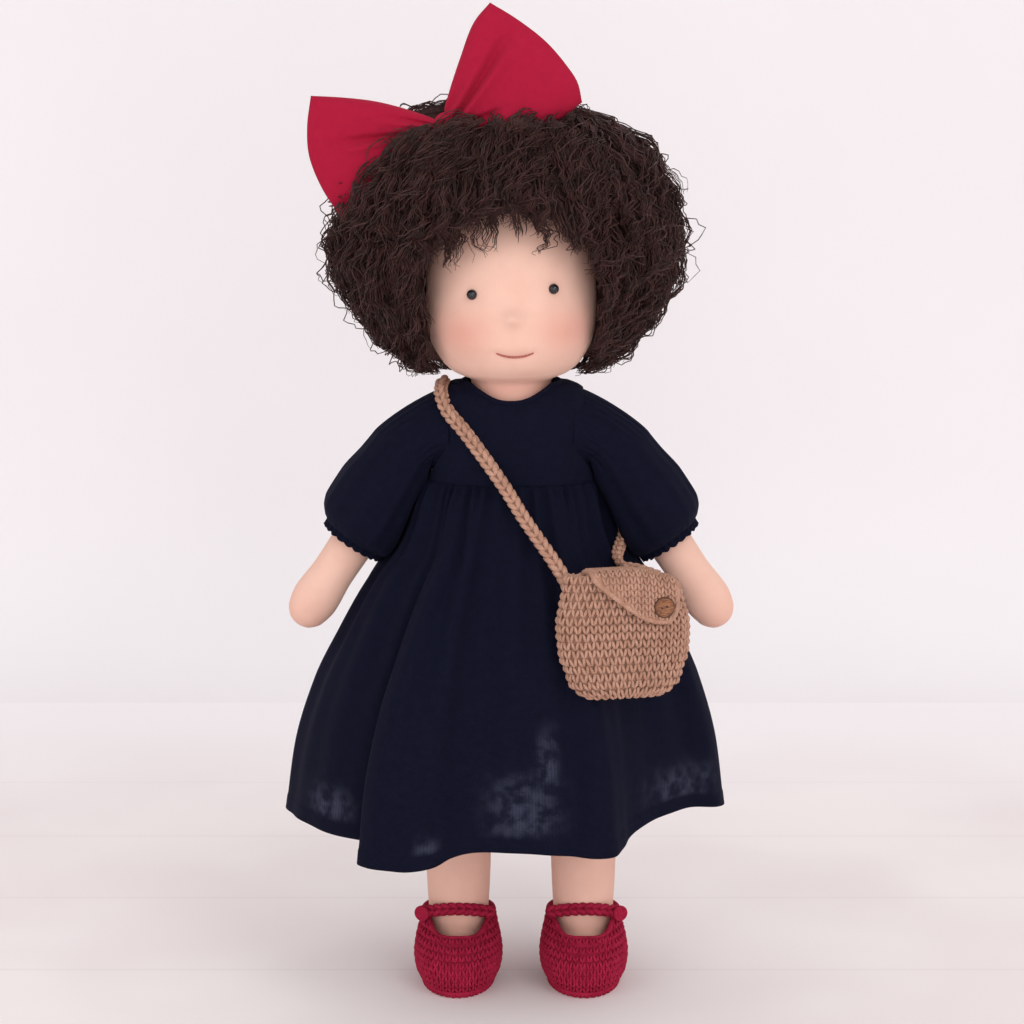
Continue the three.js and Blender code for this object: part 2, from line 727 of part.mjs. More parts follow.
function buildShoe(name, x, side) {
  const sole = loft([
    shoeRing(x, 0, soleHalfWidth - 0.8, soleToe - 0.8, soleHeel - 0.8),
    shoeRing(x, soleThickness, soleHalfWidth, soleToe, soleHeel),
  ]);
  addMesh(name + "_shoe_sole", sole, "redYarn");

  const bottom = soleThickness + seamGap;
  const height = shoeTop - bottom;
  // Rows: share of the height, half width, how far back the toe has come
  const rows = [
    [0, 1, 0.02],
    [0.2, 1.03, 0],
    [0.45, 1.02, 0.05],
    [0.65, 0.97, 0.17],
    [0.82, 0.9, 0.38],
    [1, shoeTopHalfWidth / soleHalfWidth, 0.62],
  ];
  const outer = rows.map(([share, width, back]) => {
    const toe = soleToe * (1 - back);
    return shoeRing(x, bottom + share * height, width * soleHalfWidth, toe, soleHeel - 1.5 * share);
  });
  const foot = legForm(x, -seamGap);
  const inner = rows.map(([share, width, back]) => {
    const toe = soleToe * (1 - back) - shoeWall;
    const z = bottom + (share === 1 ? 1.4 : share) * height - (share < 1 ? share * shoeWall : 0);
    return shoeRing(x, z, width * soleHalfWidth - shoeWall, toe, soleHeel - 1.5 * share - shoeWall);
  });
  const mouthMiddle = (footHeel - shoeMouthToe) / 2;
  const mouth = loft(
    [footTop, reach].map((z) =>
      ring(
        new THREE.Vector3(x, mouthMiddle, z),
        xAxis,
        yAxis,
        soleHalfWidth - 2.6 * shoeWall,
        (shoeMouthToe + footHeel) / 2,
        2 * smallSides,
      ),
    ),
  );
  const upper = solid(loft(outer))
    .subtract(solid(loft(inner)))
    .subtract(solid(mouth))
    .subtract(foot);
  addMesh(name + "_shoe_upper", upper, "redYarn");

  // The strap is sewn on at the inner side and arches over the instep to its button at the outer side.
  const strapY = -ankleRadius - 2 * seamGap - shoeStrapThickness;
  const spanIn = -side * (shoeTopHalfWidth + 0.2);
  const spanOut = side * (shoeTopHalfWidth + 1.6);
  const strapAt = (share) => {
    const arch = Math.sin(Math.PI * share);
    return new THREE.Vector3(
      x + spanIn + share * (spanOut - spanIn),
      strapY + shoeStrapSweep * (1 - arch),
      shoeStrapHeight + 0.5 * shoeStrapBand + seamGap + shoeStrapRise * arch,
    );
  };
  const steps = 8;
  const rings = [];
  for (let i = 0; i <= steps; i++) {
    const points = ring(
      strapAt(i / steps),
      yAxis,
      zAxis,
      shoeStrapThickness / 2,
      shoeStrapBand / 2,
      bandSides,
      bandPower,
    );
    rings.push(side > 0 ? points : points.reverse());
  }
  addMesh(name + "_shoe_strap", loft(rings), "redYarn");
  // The button faces away from the end of the strap, which slants back there.
  const slant = (26 * Math.PI) / 180;
  const button = disc(shoeButtonRadius, shoeButtonThickness);
  const facing = new THREE.Vector3(side * Math.sin(slant), -Math.cos(slant), 0);
  button.applyQuaternion(new THREE.Quaternion().setFromUnitVectors(yAxis, facing));
  const buttonOut = 0.5 * (shoeStrapThickness + shoeButtonThickness) + seamGap;
  const seat = strapAt(0.95).addScaledVector(facing, buttonOut);
  button.translate(seat.x, seat.y, seat.z);
  addMesh(name + "_shoe_button", button, "redYarn");
}

// Head: rows of share of the height and share of the half width, from the neck up.
const headRows = [
  [0, 0.5],
  [0.035, 0.68],
  [0.1, 0.83],
  [0.22, 0.96],
  [0.36, 1],
  [0.5, 0.985],
  [0.64, 0.94],
  [0.78, 0.83],
  [0.9, 0.62],
  [0.97, 0.34],
  [1, 0.06],
];

function headWidthAt(z) {
  return between(headRows, (z - chinZ) / headHeight)[0] * cheekHalfWidth;
}

function headForm(grow) {
  const depth = headHalfDepth / cheekHalfWidth;
  const rows = [[neckBottom - grow, neckRadius], [chinZ - seamGap, neckRadius]];
  for (const [share, width] of headRows) {
    const z = chinZ + share * headHeight + grow * (2 * share - 1);
    rows.push([z, Math.max(width * cheekHalfWidth, neckRadius * (share < 0.5 ? 1 : 0))]);
  }
  const rings = rows.map(([z, radius], i) => {
    const stretch = i < 2 ? 1 : depth;
    const centre = new THREE.Vector3(headX, 0, z);
    const across = Math.max(radius + grow, 1);
    const through = Math.max(radius * stretch + grow, 1);
    return ring(centre, xAxis, yAxis, across, through, bodySides);
  });
  return solid(loft(rings));
}

// A point on the face at a place seen from the front, moved outwards by a distance.
function onFace(x, z, out) {
  const halfWidth = headWidthAt(z);
  const halfDepth = (halfWidth * headHalfDepth) / cheekHalfWidth;
  const y = -halfDepth * Math.sqrt(Math.max(0, 1 - ((x - headX) / halfWidth) ** 2));
  const rise = (headWidthAt(z + 1) - headWidthAt(z - 1)) / 2;
  const normal = new THREE.Vector3((x - headX) / halfWidth ** 2, y / halfDepth ** 2, 0).normalize();
  normal.z = -rise;
  normal.normalize();
  return { point: new THREE.Vector3(x, y, z).addScaledVector(normal, out), normal };
}

function buildHead() {
  const nosePlace = onFace(headX + 1, chinZ + 0.35 * headHeight, -noseProud);
  const nose = new THREE.SphereGeometry(1, smallSides, 8);
  nose.scale(noseHalfWidth, 2 * noseProud, 0.8 * noseHalfWidth);
  nose.translate(nosePlace.point.x, nosePlace.point.y, nosePlace.point.z);
  const tied = new THREE.Matrix4().makeTranslation(headX, 0, neckBottom);
  const opening = cylinder(0.7 * neckRadius, 4 * jerseyThickness, smallSides, tied);
  const skin = headForm(0).add(solid(nose)).subtract(headForm(-jerseyThickness)).subtract(opening);
  addMesh("head_skin", skin, "jersey");
  addMesh("head_wool", headForm(-jerseyThickness - seamGap), "wool");
  for (const [name, side] of Object.entries(sides)) {
    const z = chinZ + eyeHeight + (side * eyeTilt) / 2;
    const { point, normal } = onFace(eyesX + (side * eyeSpacing) / 2, z, -eyeRadius / 2);
    const profile = [
      [0, 0],
      [eyeRadius, 0],
      [eyeRadius, 0.5 * eyeRadius],
      [0.84 * eyeRadius, 0.95 * eyeRadius],
      [0.5 * eyeRadius, 1.3 * eyeRadius],
      [0, 1.4 * eyeRadius],
    ].map(([radius, height]) => new THREE.Vector2(radius, height));
    const eye = new THREE.LatheGeometry(profile, smallSides);
    eye.applyQuaternion(new THREE.Quaternion().setFromUnitVectors(yAxis, normal));
    eye.translate(point.x, point.y, point.z);
    addMesh(name + "_eye", solid(eye).subtract(headForm(seamGap)), "bead");
  }
  const rings = [];
  const steps = 8;
  for (let i = 0; i <= steps; i++) {
    const share = (2 * i) / steps - 1;
    const x = mouthX + share * mouthHalfWidth;
    const z = chinZ + mouthHeight - mouthDip * (1 - share * share);
    const { point, normal } = onFace(x, z, threadRadius + 2 * seamGap);
    rings.push(ring(point, normal, zAxis, threadRadius, threadRadius, cordSides).reverse());
  }
  addMesh("mouth_stitch", loft(rings), "thread");
}

// The part of the space in front of the face that the wig leaves open, with a round top at the hairline.
function faceOpening(grow, depth) {
  const shape = new THREE.Shape();
  const half = faceHalfWidth + grow;
  const top = hairlineHeight + grow;
  const springs = 0.55 * top;
  shape.moveTo(-half, -reach);
  shape.lineTo(half, -reach);
  shape.lineTo(half, springs);
  shape.bezierCurveTo(half, 0.8 * top + 0.2 * springs, 0.55 * half, top, 0, top);
  shape.bezierCurveTo(-0.55 * half, top, -half, 0.8 * top + 0.2 * springs, -half, springs);
  const options = { depth: reach, bevelEnabled: false, curveSegments: 6 };
  const geometry = new THREE.ExtrudeGeometry(shape, options);
  geometry.rotateX(Math.PI / 2);
  geometry.translate(headX, -depth, chinZ);
  return solid(geometry);
}

// Wig outline. Rows: share of the height, share of the half width, of the front and of the back.
const wigRows = [
  [0, 0.72, 0.52, 0.7],
  [0.05, 0.83, 0.6, 0.78],
  [0.13, 0.92, 0.7, 0.87],
  [0.24, 0.985, 0.8, 0.96],
  [0.36, 1, 0.9, 1],
  [0.5, 0.97, 0.97, 1],
  [0.64, 0.94, 1, 0.96],
  [0.76, 0.87, 0.9, 0.86],
  [0.86, 0.76, 0.68, 0.72],
  [0.935, 0.6, 0.4, 0.55],
  [0.98, 0.4, 0.2, 0.37],
  [1, 0.2, 0.08, 0.2],
];
const wigBottom = shoulderTop + clothThickness + headTurnRoom + strapThickness;

function wigForm() {
  const rings = wigRows.map(([share, width, front, back]) => {
    const z = wigBottom + share * (wigTop - wigBottom);
    const points = [];
    for (let i = 0; i < hairSides; i++) {
      const angle = (2 * Math.PI * i) / hairSides;
      const s = Math.sin(angle);
      const depth = s < 0 ? front * wigFront : back * wigBack;
      const x = wigX + width * wigHalfWidth * Math.cos(angle);
      points.push(new THREE.Vector3(x, wigY + depth * s, z));
    }
    return points;
  });
  return solid(loft(rings));
}

// A loop of the bow: narrow at the knot, wide and full near its outer edge.
function bowLoop(length, angle, height, grow) {
  const turn = (angle * Math.PI) / 180;
  const along = new THREE.Vector3(Math.cos(turn), 0, Math.sin(turn));
  const up = new THREE.Vector3().crossVectors(along, yAxis);
  const start = bowKnot.clone().setZ(chinZ + bowKnot.z).setX(headX + bowKnot.x);
  const rings = [];
  // Rows: share of the length, of the height and of the thickness
  const rows = [
    [0.13, 0, 0.2],
    [0.3, 0.36, 0.62],
    [0.5, 0.66, 0.95],
    [0.72, 0.88, 1],
    [0.88, 0.98, 0.75],
    [0.97, 1, 0.4],
    [1, 0.99, 0.12],
  ];
  for (const [share, tall, thick] of rows) {
    const halfHeight = (loopNeckHeight + (height - loopNeckHeight) * tall) / 2 + grow;
    const fullness = loopNeckThickness + (loopThickness - loopNeckThickness) * thick;
    const halfThick = (fullness / 2) * Math.min(1, 4.2 * thick) + grow;
    const ends = share === 1 ? grow : share < 0.2 ? -grow : 0;
    const centre = start.clone().addScaledVector(along, share * length + ends);
    rings.push(ring(centre, yAxis, up, halfThick, halfHeight, smallSides, bodyPower));
  }
  return solid(loft(rings));
}

function rightLoop(grow) {
  return bowLoop(rightLoopLength, rightLoopAngle, rightLoopHeight, grow);
}

function leftLoop(grow) {
  return bowLoop(leftLoopLength, leftLoopAngle, leftLoopHeight, grow);
}

// The room that a piece takes up, with all that lies in front of it.
function drawnForward(shape) {
  return wasm.Manifold.hull([shape, shape.translate([0, -wigFront, 0])]);
}

const bowTurn = (((rightLoopAngle - 180 + leftLoopAngle) / 2) * Math.PI) / 180;

function knotForm(grow) {
  const geometry = new THREE.SphereGeometry(1, smallSides, 8);
  geometry.scale(bowKnotSize.x / 2 + grow, bowKnotSize.y / 2 + grow, bowKnotSize.z / 2 + grow);
  geometry.rotateY(-bowTurn);
  geometry.translate(headX + bowKnot.x, bowKnot.y, chinZ + bowKnot.z);
  return solid(geometry);
}

// The clip lies behind the knot, which is sewn to it, and grips the hair.
function clipForm(grow) {
  const sizes = [clipLength, clipThickness, clipWidth].map((size) => size + 2 * grow);
  const geometry = new THREE.BoxGeometry(...sizes);
  geometry.rotateY(-bowTurn);
  const behind = bowKnotSize.y / 2 + seamGap + clipThickness / 2;
  geometry.translate(headX + bowKnot.x, bowKnot.y + behind, chinZ + bowKnot.z);
  return solid(geometry);
}

function buildWig() {
  const belowCap = box(
    new THREE.Vector3(-reach, -reach, -reach),
    new THREE.Vector3(reach, reach, chinZ + capBottom),
  );
  const cap = headForm(seamGap + capThickness)
    .subtract(headForm(seamGap))
    .subtract(faceOpening(-capOverlap, -capOverlap))
    .subtract(belowCap);
  addMesh("wig_cap", cap, "cap");

  // The hair is parted where the bow sits: nothing of it lies in front of the knot and loops.
  const slotZ = chinZ + bowKnot.z - bowKnotSize.z / 2 - 2 * seamGap;
  const slotBack = bowKnot.y + bowKnotSize.y / 2 + clipThickness + 3 * seamGap;
  const slot = box(
    new THREE.Vector3(headX + bowKnot.x - clipLength, -reach, slotZ),
    new THREE.Vector3(headX + leftLoopLength, slotBack, reach),
  );
  const hair = wigForm()
    .subtract(headForm(2 * seamGap + capThickness))
    .subtract(faceOpening(0, faceOpeningDepth))
    .subtract(drawnForward(rightLoop(2 * seamGap)))
    .subtract(drawnForward(leftLoop(2 * seamGap)))
    .subtract(clipForm(2 * seamGap))
    .subtract(slot);
  const crownZ = chinZ + hairlineHeight - capOverlap;
  const right = headX - faceHalfWidth - capThickness;
  const left = headX + faceHalfWidth + capThickness;
  const half = seamGap / 2;
  const far = reach;
  // Rows: name, lowest corner and highest corner of the block that a lock of the wig fills
  const pieces = [
    ["hair_crown", [right + half, partingY + half, crownZ + half], [left - half, far, far]],
    ["hair_fringe", [right + half, -far, crownZ + half], [left - half, partingY - half, far]],
    ["hair_back", [right + half, 0, -far], [left - half, far, crownZ - half]],
    ["hair_right", [-far, -far, -far], [right - half, far, far]],
    ["hair_left", [left + half, -far, -far], [far, far, far]],
  ];
  for (const [name, low, high] of pieces) {
    const block = box(new THREE.Vector3(...low), new THREE.Vector3(...high));
    addMesh(name, mainBody(hair.intersect(block)), "hair");
  }
}

function buildBow() {
  const knot = knotForm(0);
  addMesh("bow_knot", knot, "bow");
  const round = knotForm(seamGap);
  addMesh("bow_right_loop", rightLoop(0).subtract(round), "bow");
  addMesh("bow_left_loop", leftLoop(0).subtract(round).subtract(rightLoop(seamGap)), "bow");
  addMesh("bow_clip", clipForm(0), "steel");
}

// The bag: a pouch with an open top, in a group turned and tilted to lie on the skirt.
const bagTop = shoulderTop - bagTopDrop;
const bagTurn = new THREE.Euler((-bagTilt * Math.PI) / 180, 0, (bagYaw * Math.PI) / 180, "ZXY");

// The place of the top edge of the bag's back, so far forward that the back clears the skirt.
function bagPlace() {
  let forward = reach;
  for (const across of [-0.5, -0.25, 0, 0.25, 0.5]) {
    for (const down of [0, -0.3, -0.6, -0.9]) {
      const offset = new THREE.Vector3(across * bagWidth, 0, down * bagHeight).applyEuler(bagTurn);
      const [halfWidth, halfDepth] = between(dressRows, bagTop + offset.z);
      const aside = Math.min(1, Math.abs(bagX + offset.x - bodyX) / halfWidth);
      const skirtFront = -halfDepth * Math.sqrt(1 - aside * aside);
      forward = Math.min(forward, skirtFront - bagSkirtGap - offset.y);
    }
  }
  return new THREE.Vector3(bagX, forward, bagTop);
}

function bagRing(z, halfWidth, halfDepth) {
  const centre = new THREE.Vector3(0, -bagThickness / 2, z);
  return ring(centre, xAxis, yAxis, halfWidth, halfDepth, 2 * smallSides, bagPower);
}

// Rows: shares of the height from the bottom, of the half width, of the bulge and of the thickness
const bagRows = [
  [0, 0.66, 0, 0.45],
  [0.05, 0.86, 0, 0.72],
  [0.16, 1, 0, 0.93],
  [0.35, 1, 0.8, 1],
  [0.6, 1, 1, 1],
  [0.8, 1, 0.5, 0.94],
  [1, 1, 0, 0.8],
];

function buildBag() {
  const bag = new THREE.Group();
  bag.position.copy(bagPlace());
  bag.rotation.copy(bagTurn);
  doll.add(bag);
  const half = bagWidth / 2;
  const outer = bagRows.map(([share, narrow, bulge, depth]) => {
    const halfWidth = half * narrow + bagBulge * bulge;
    return bagRing(-bagHeight * (1 - share), halfWidth, (depth * bagThickness) / 2);
  });
  const inner = bagRows.map(([share, narrow, bulge, depth]) => {
    const z = (bagWall - bagHeight) * (1 - share) + (share === 1 ? bagWall : 0);
    const halfWidth = half * narrow + bagBulge * bulge - bagWall;
    return bagRing(z, halfWidth, (depth * bagThickness) / 2 - bagWall);
  });
  addMesh("bag_body", solid(loft(outer)).subtract(solid(loft(inner))), "tanYarn", bag);

  // The flap is hinged along the top of the bag's back, lies over its mouth and hangs down its front.
  const front = -bagThickness - seamGap - flapThickness;
  const flapTop = seamGap + flapThickness;
  const outline = [
    [0, flapTop],
    [front, flapTop],
    [front, -flapLength],
    [front + flapThickness, -flapLength],
    [front + flapThickness, seamGap],
    [0, seamGap],
  ].map(([y, z]) => new THREE.Vector2(y, z));
  const profile = new THREE.Shape(outline);
  const across = { depth: flapRight - flapLeft, bevelEnabled: false };
  const strip = new THREE.ExtrudeGeometry(profile, across);
  strip.applyMatrix4(new THREE.Matrix4().makeBasis(yAxis, zAxis, xAxis));
  strip.translate(flapLeft, 0, 0);
  // Its front edge falls from the left corner to a tip under the button.
  const edge = new THREE.Shape();
  edge.moveTo(-reach, -reach);
  edge.lineTo(reach, -reach);
  edge.lineTo(reach, -0.6 * flapLength);
  edge.lineTo(flapRight, -0.6 * flapLength);
  edge.lineTo(bagButtonX + bagButtonRadius, -flapLength);
  edge.lineTo(bagButtonX - 2 * bagButtonRadius, -0.95 * flapLength);
  edge.lineTo(flapLeft, -0.1 * flapLength);
  edge.lineTo(-reach, -0.1 * flapLength);
  const cut = new THREE.ExtrudeGeometry(edge, { depth: reach, bevelEnabled: false });
  cut.rotateX(Math.PI / 2);
  cut.translate(0, reach / 2, 0);
  addMesh("bag_flap", solid(strip).subtract(solid(cut)), "tanYarn", bag);
  const button = disc(bagButtonRadius, bagButtonThickness);
  button.translate(bagButtonX, front - seamGap - bagButtonThickness / 2, -0.72 * flapLength);
  addMesh("bag_button", button, "wood", bag);
  bag.updateMatrixWorld(true);
  return bag;
}

// The strap runs from the bag's right corner over the doll's right shoulder, across the back and
// under the left arm.
// Rows: degrees round the body from +X, drop from the top of the shoulders as a share of the
// yoke's drop, distance off the dress as a share of the strap's thickness
const strapRoute = [
  [-84, 1.27, 2.7],
  [-94, 0.98, 2.7],
  [-107, 0.68, 1.15],
  [-121, 0.41, 0.75],
  [-136, 0.2, 0.9],
  [-152, 0.02, 1.2],
  [180, -0.11, 0.9],
  [152, 0.02, 1.2],
  [136, 0.2, 0.9],
  [118, 0.44, 0.75],
  [98, 0.68, 0.95],
  [78, 0.9, 1.05],
  [58, 1.12, 0.8],
  [38, 1.29, 0.65],
  [16, 1.46, 0.45],
  [-8, 1.63, 0.5],
  [-32, 1.83, 1.1],
];

function buildStrap(bag) {
  // Each end is sewn down the back of the bag, near its corner.
  const behind = (side, z) => {
    const x = side * (bagWidth - strapWidth) * 0.5;
    return new THREE.Vector3(x, -seamGap, z).applyMatrix4(bag.matrixWorld);
  };
  const bagFront = new THREE.Vector3(0, -1, 0).transformDirection(bag.matrixWorld);
  const lift = strapLift + strapThickness / 2;
  const points = [behind(-1, -2 * strapWidth), behind(-1, -strapWidth)];
  for (const [angle, drop, out] of strapRoute) {
    const z = shoulderTop - drop * yokeDrop;
    points.push(onDress(angle, z, lift + out * strapThickness));
  }
  points.push(behind(1, -strapWidth), behind(1, -2 * strapWidth));
  const curve = new THREE.CatmullRomCurve3(points, false, "centripetal");
  const steps = 56;
  const rings = [];
  for (let i = 0; i <= steps; i++) {
    const at = curve.getPointAt(i / steps);
    const along = curve.getTangentAt(i / steps);
    // The band lies flat on the dress, so its thickness points away from the body's middle, and
    // near its ends it lies flat on the bag.
    const above = Math.max(0, at.z - shoulderTop + strapTopDepth);
    const out = new THREE.Vector3((at.x - bodyX) / 1.9, at.y, 1.6 * above);
    const fromEnd = Math.min(i, steps - i) / steps;
    out.normalize().lerp(bagFront, Math.max(0, 1 - fromEnd / strapEndShare));
    out.addScaledVector(along, -out.dot(along)).normalize();
    const across = new THREE.Vector3().crossVectors(along, out);
    rings.push(
      ring(at, out, across, strapThickness / 2, strapWidth / 2, bandSides, bandPower),
    );
  }
  addMesh("bag_strap", loft(rings), "tanYarn");
}

buildTorso();
buildBodice();
buildBinding();
buildBackButtons();
buildSkirt();
for (const [name, side] of Object.entries(sides)) {
  buildArm(name, side);
  buildElastic(name, side);
  buildLeg(name, legX[name]);
  buildShoe(name, legX[name], side);
}
buildHead();
buildWig();
buildBow();
buildStrap(buildBag());

export default doll;
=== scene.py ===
import math

import bmesh
import bpy
import numpy as np
from mathutils import Matrix, Vector


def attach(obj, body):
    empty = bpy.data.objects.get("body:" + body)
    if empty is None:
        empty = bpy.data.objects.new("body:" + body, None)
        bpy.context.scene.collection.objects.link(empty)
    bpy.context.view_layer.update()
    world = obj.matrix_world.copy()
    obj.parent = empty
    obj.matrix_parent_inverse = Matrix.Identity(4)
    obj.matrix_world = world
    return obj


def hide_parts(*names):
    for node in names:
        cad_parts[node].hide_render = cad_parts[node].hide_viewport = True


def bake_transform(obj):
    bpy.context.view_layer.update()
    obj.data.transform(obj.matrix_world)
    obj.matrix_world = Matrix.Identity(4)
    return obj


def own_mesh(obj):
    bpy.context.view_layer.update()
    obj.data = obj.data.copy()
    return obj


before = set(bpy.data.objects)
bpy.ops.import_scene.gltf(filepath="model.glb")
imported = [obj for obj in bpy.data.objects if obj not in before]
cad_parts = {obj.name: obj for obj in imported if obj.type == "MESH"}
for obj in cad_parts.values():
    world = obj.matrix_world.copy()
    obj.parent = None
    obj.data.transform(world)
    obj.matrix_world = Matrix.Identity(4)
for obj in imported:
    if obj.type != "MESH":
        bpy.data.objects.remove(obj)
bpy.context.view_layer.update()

scene = bpy.context.scene
scene.view_settings.view_transform = "Standard"

# The shapes are worked out in millimetres and turned into metres when a mesh is made.
mm = 0.001
fullTurn = 2 * math.pi


# Camera and light

cameraValues = {"place": (0.00135, -1.2, 0.437), "tiltDown": 10.34, "lens": 94.4}

cameraData = bpy.data.cameras.new("Camera")
cameraData.lens = cameraValues["lens"]
camera = bpy.data.objects.new("Camera", cameraData)
camera.location = cameraValues["place"]
camera.rotation_euler = (math.radians(90 - cameraValues["tiltDown"]), 0, 0)
scene.collection.objects.link(camera)
scene.camera = camera

lightValues = {
    "aim": (0, 0, 0.2), "worldColor": (1.0, 0.985, 0.985), "worldStrength": 0.75,
    "key": {"place": (0.95, -1.3, 1.4), "size": 0.9, "power": 5.6},
    "fill": {"place": (-1.4, -1.2, 0.9), "size": 1.4, "power": 4.0},
    "front": {"place": (0.2, -1.7, 0.3), "size": 1.2, "power": 8.0},
}

world = bpy.data.worlds.new("Studio")
scene.world = world
world.use_nodes = True
skyNode = world.node_tree.nodes["Background"]
skyNode.inputs["Color"].default_value = (*lightValues["worldColor"], 1)
skyNode.inputs["Strength"].default_value = lightValues["worldStrength"]

for lightName in ("key", "fill", "front"):
    values = lightValues[lightName]
    lightData = bpy.data.lights.new(lightName, "AREA")
    lightData.size = values["size"]
    lightData.energy = values["power"]
    light = bpy.data.objects.new(lightName, lightData)
    light.location = values["place"]
    ahead = Vector(lightValues["aim"]) - light.location
    light.rotation_euler = ahead.to_track_quat("-Z", "Y").to_euler()
    scene.collection.objects.link(light)
print("camera and lights are set")


# Small helpers for shapes

def rowsAt(rows, places):
    # Smooth values between the rows of a table, whose first column is the place.
    table = np.array(rows, float)
    keys, values = table[:, 0], table[:, 1:]
    slope = np.diff(values, axis=0) / np.diff(keys)[:, None]
    tangent = np.concatenate([slope[:1], np.zeros_like(slope[1:]), slope[-1:]])
    product = slope[:-1] * slope[1:]
    total = np.where(product > 0, slope[:-1] + slope[1:], 1)
    tangent[1:-1] = np.where(product > 0, 2 * product / total, 0)
    places = np.clip(np.asarray(places, float), keys[0], keys[-1])
    at = np.clip(np.searchsorted(keys, places, side="right") - 1, 0, len(keys) - 2)
    span = np.diff(keys)[at]
    t = ((places - keys[at]) / span)[:, None]
    span = span[:, None]
    return (
        (2 * t**3 - 3 * t**2 + 1) * values[at]
        + (t**3 - 2 * t**2 + t) * span * tangent[at]
        + (3 * t**2 - 2 * t**3) * values[at + 1]
        + (t**3 - t**2) * span * tangent[at + 1]
    )


def steps(*parts):
    # The places of several even runs together, each given as its start, its end and its count.
    return np.unique(np.concatenate([np.linspace(*part) for part in parts]))


def smoothStep(value, low, high):
    t = np.clip((np.asarray(value, float) - low) / (high - low), 0, 1)
    return t * t * (3 - 2 * t)


def unit(vectors):
    return vectors / np.maximum(np.linalg.norm(vectors, axis=-1, keepdims=True), 1e-9)


def lengthAlong(path):
    # The distance from the start of a path to each of its points.
    return np.concatenate([[0], np.cumsum(np.linalg.norm(np.diff(path, axis=0), axis=1))])


def sampled(values, at, length):
    # The rows of values at the given distances.
    return np.stack([np.interp(at, length, values[:, axis]) for axis in range(3)], -1)


def turnOf(columns):
    return np.linspace(0, fullTurn, columns, endpoint=False)


def roundedTurn(angle, power):
    # A circle whose corners are filled as the power grows from 2.
    across, along = np.cos(angle), np.sin(angle)
    return np.sign(across) * abs(across) ** (2 / power), np.sign(along) * abs(along) ** (2 / power)


def splineThrough(points, count, closed=False):
    # A centripetal Catmull-Rom curve, resampled to even steps.
    points = np.array(points, float)
    if closed:
        points = np.vstack([points[-1:], points, points[:2]])
    else:
        points = np.vstack([2 * points[:1] - points[1:2], points, 2 * points[-1:] - points[-2:-1]])
    pieces = []
    steps = np.linspace(0, 1, 24, endpoint=False)[:, None]
    for at in range(1, len(points) - 2):
        p0, p1, p2, p3 = points[at - 1:at + 3]
        t1 = max(np.linalg.norm(p1 - p0), 1e-6) ** 0.5
        t2 = t1 + max(np.linalg.norm(p2 - p1), 1e-6) ** 0.5
        t3 = t2 + max(np.linalg.norm(p3 - p2), 1e-6) ** 0.5
        t = t1 + (t2 - t1) * steps
        a1 = (t1 - t) / t1 * p0 + t / t1 * p1
        a2 = (t2 - t) / (t2 - t1) * p1 + (t - t1) / (t2 - t1) * p2
        a3 = (t3 - t) / (t3 - t2) * p2 + (t - t2) / (t3 - t2) * p3
        b1 = (t2 - t) / t2 * a1 + t / t2 * a2
        b2 = (t3 - t) / (t3 - t1) * a2 + (t - t1) / (t3 - t1) * a3
        pieces.append((t2 - t) / (t2 - t1) * b1 + (t - t1) / (t2 - t1) * b2)
    line = np.vstack(pieces + [points[-2:-1]])
    length = lengthAlong(line)
    return sampled(line, np.linspace(0, length[-1], count, endpoint=not closed), length)


def flatLine(points, count):
    # A smooth line through flat points.
    return splineThrough([(x, 0, z) for x, z in points], count)[:, [0, 2]]


def stackRings(heights, halfWidth, halfDepth, power, columns, centre=(0, 0)):
    x, y = roundedTurn(turnOf(columns), power)
    halfWidth = np.broadcast_to(halfWidth, heights.shape)
    halfDepth = np.broadcast_to(halfDepth, heights.shape)
    return np.stack([
        centre[0] + halfWidth[:, None] * x,
        centre[1] + halfDepth[:, None] * y,
        np.repeat(heights[:, None], columns, 1),
    ], -1)


def ballRings(centre, half, rows, columns, gap=0.03):
    # An egg shape with small holes at its ends, which caps close.
    tilt = np.linspace(gap, math.pi - gap, rows)
    heights = centre[2] - half[2] * np.cos(tilt)
    return stackRings(heights, half[0] * np.sin(tilt), half[1] * np.sin(tilt), 2.0, columns, centre[:2])


def gridNormals(rings):
    # The direction square to the surface at each point of a grid of rings, from its neighbours.
    across = np.roll(rings, -1, 1) - np.roll(rings, 1, 1)
    return unit(np.cross(across, np.gradient(rings, axis=0)))


def meshFrom(name, places, faces, loopUv=None):
    mesh = bpy.data.meshes.new(name)
    mesh.from_pydata(places.tolist(), [], faces)
    if loopUv is not None:
        layer = mesh.uv_layers.new(name="cloth")
        layer.data.foreach_set("uv", np.asarray(loopUv, np.float32).ravel())
    return mesh


def tidyNormals(mesh):
    work = bmesh.new()
    work.from_mesh(mesh)
    bmesh.ops.recalc_face_normals(work, faces=work.faces)
    work.to_mesh(mesh)
    work.free()
    mesh.shade_smooth()
    return mesh


def gridQuads(rows, columns, rowSpans, columnSpans):
    # The quads of a grid, with the row and the column of each.
    row, column = np.meshgrid(np.arange(rowSpans), np.arange(columnSpans), indexing="ij")
    row, column = row.ravel(), column.ravel()
    nextRow, nextColumn = (row + 1) % rows, (column + 1) % columns
    quads = np.stack([
        row * columns + column, row * columns + nextColumn,
        nextRow * columns + nextColumn, nextRow * columns + column,
    ], -1)
    return row, column, quads


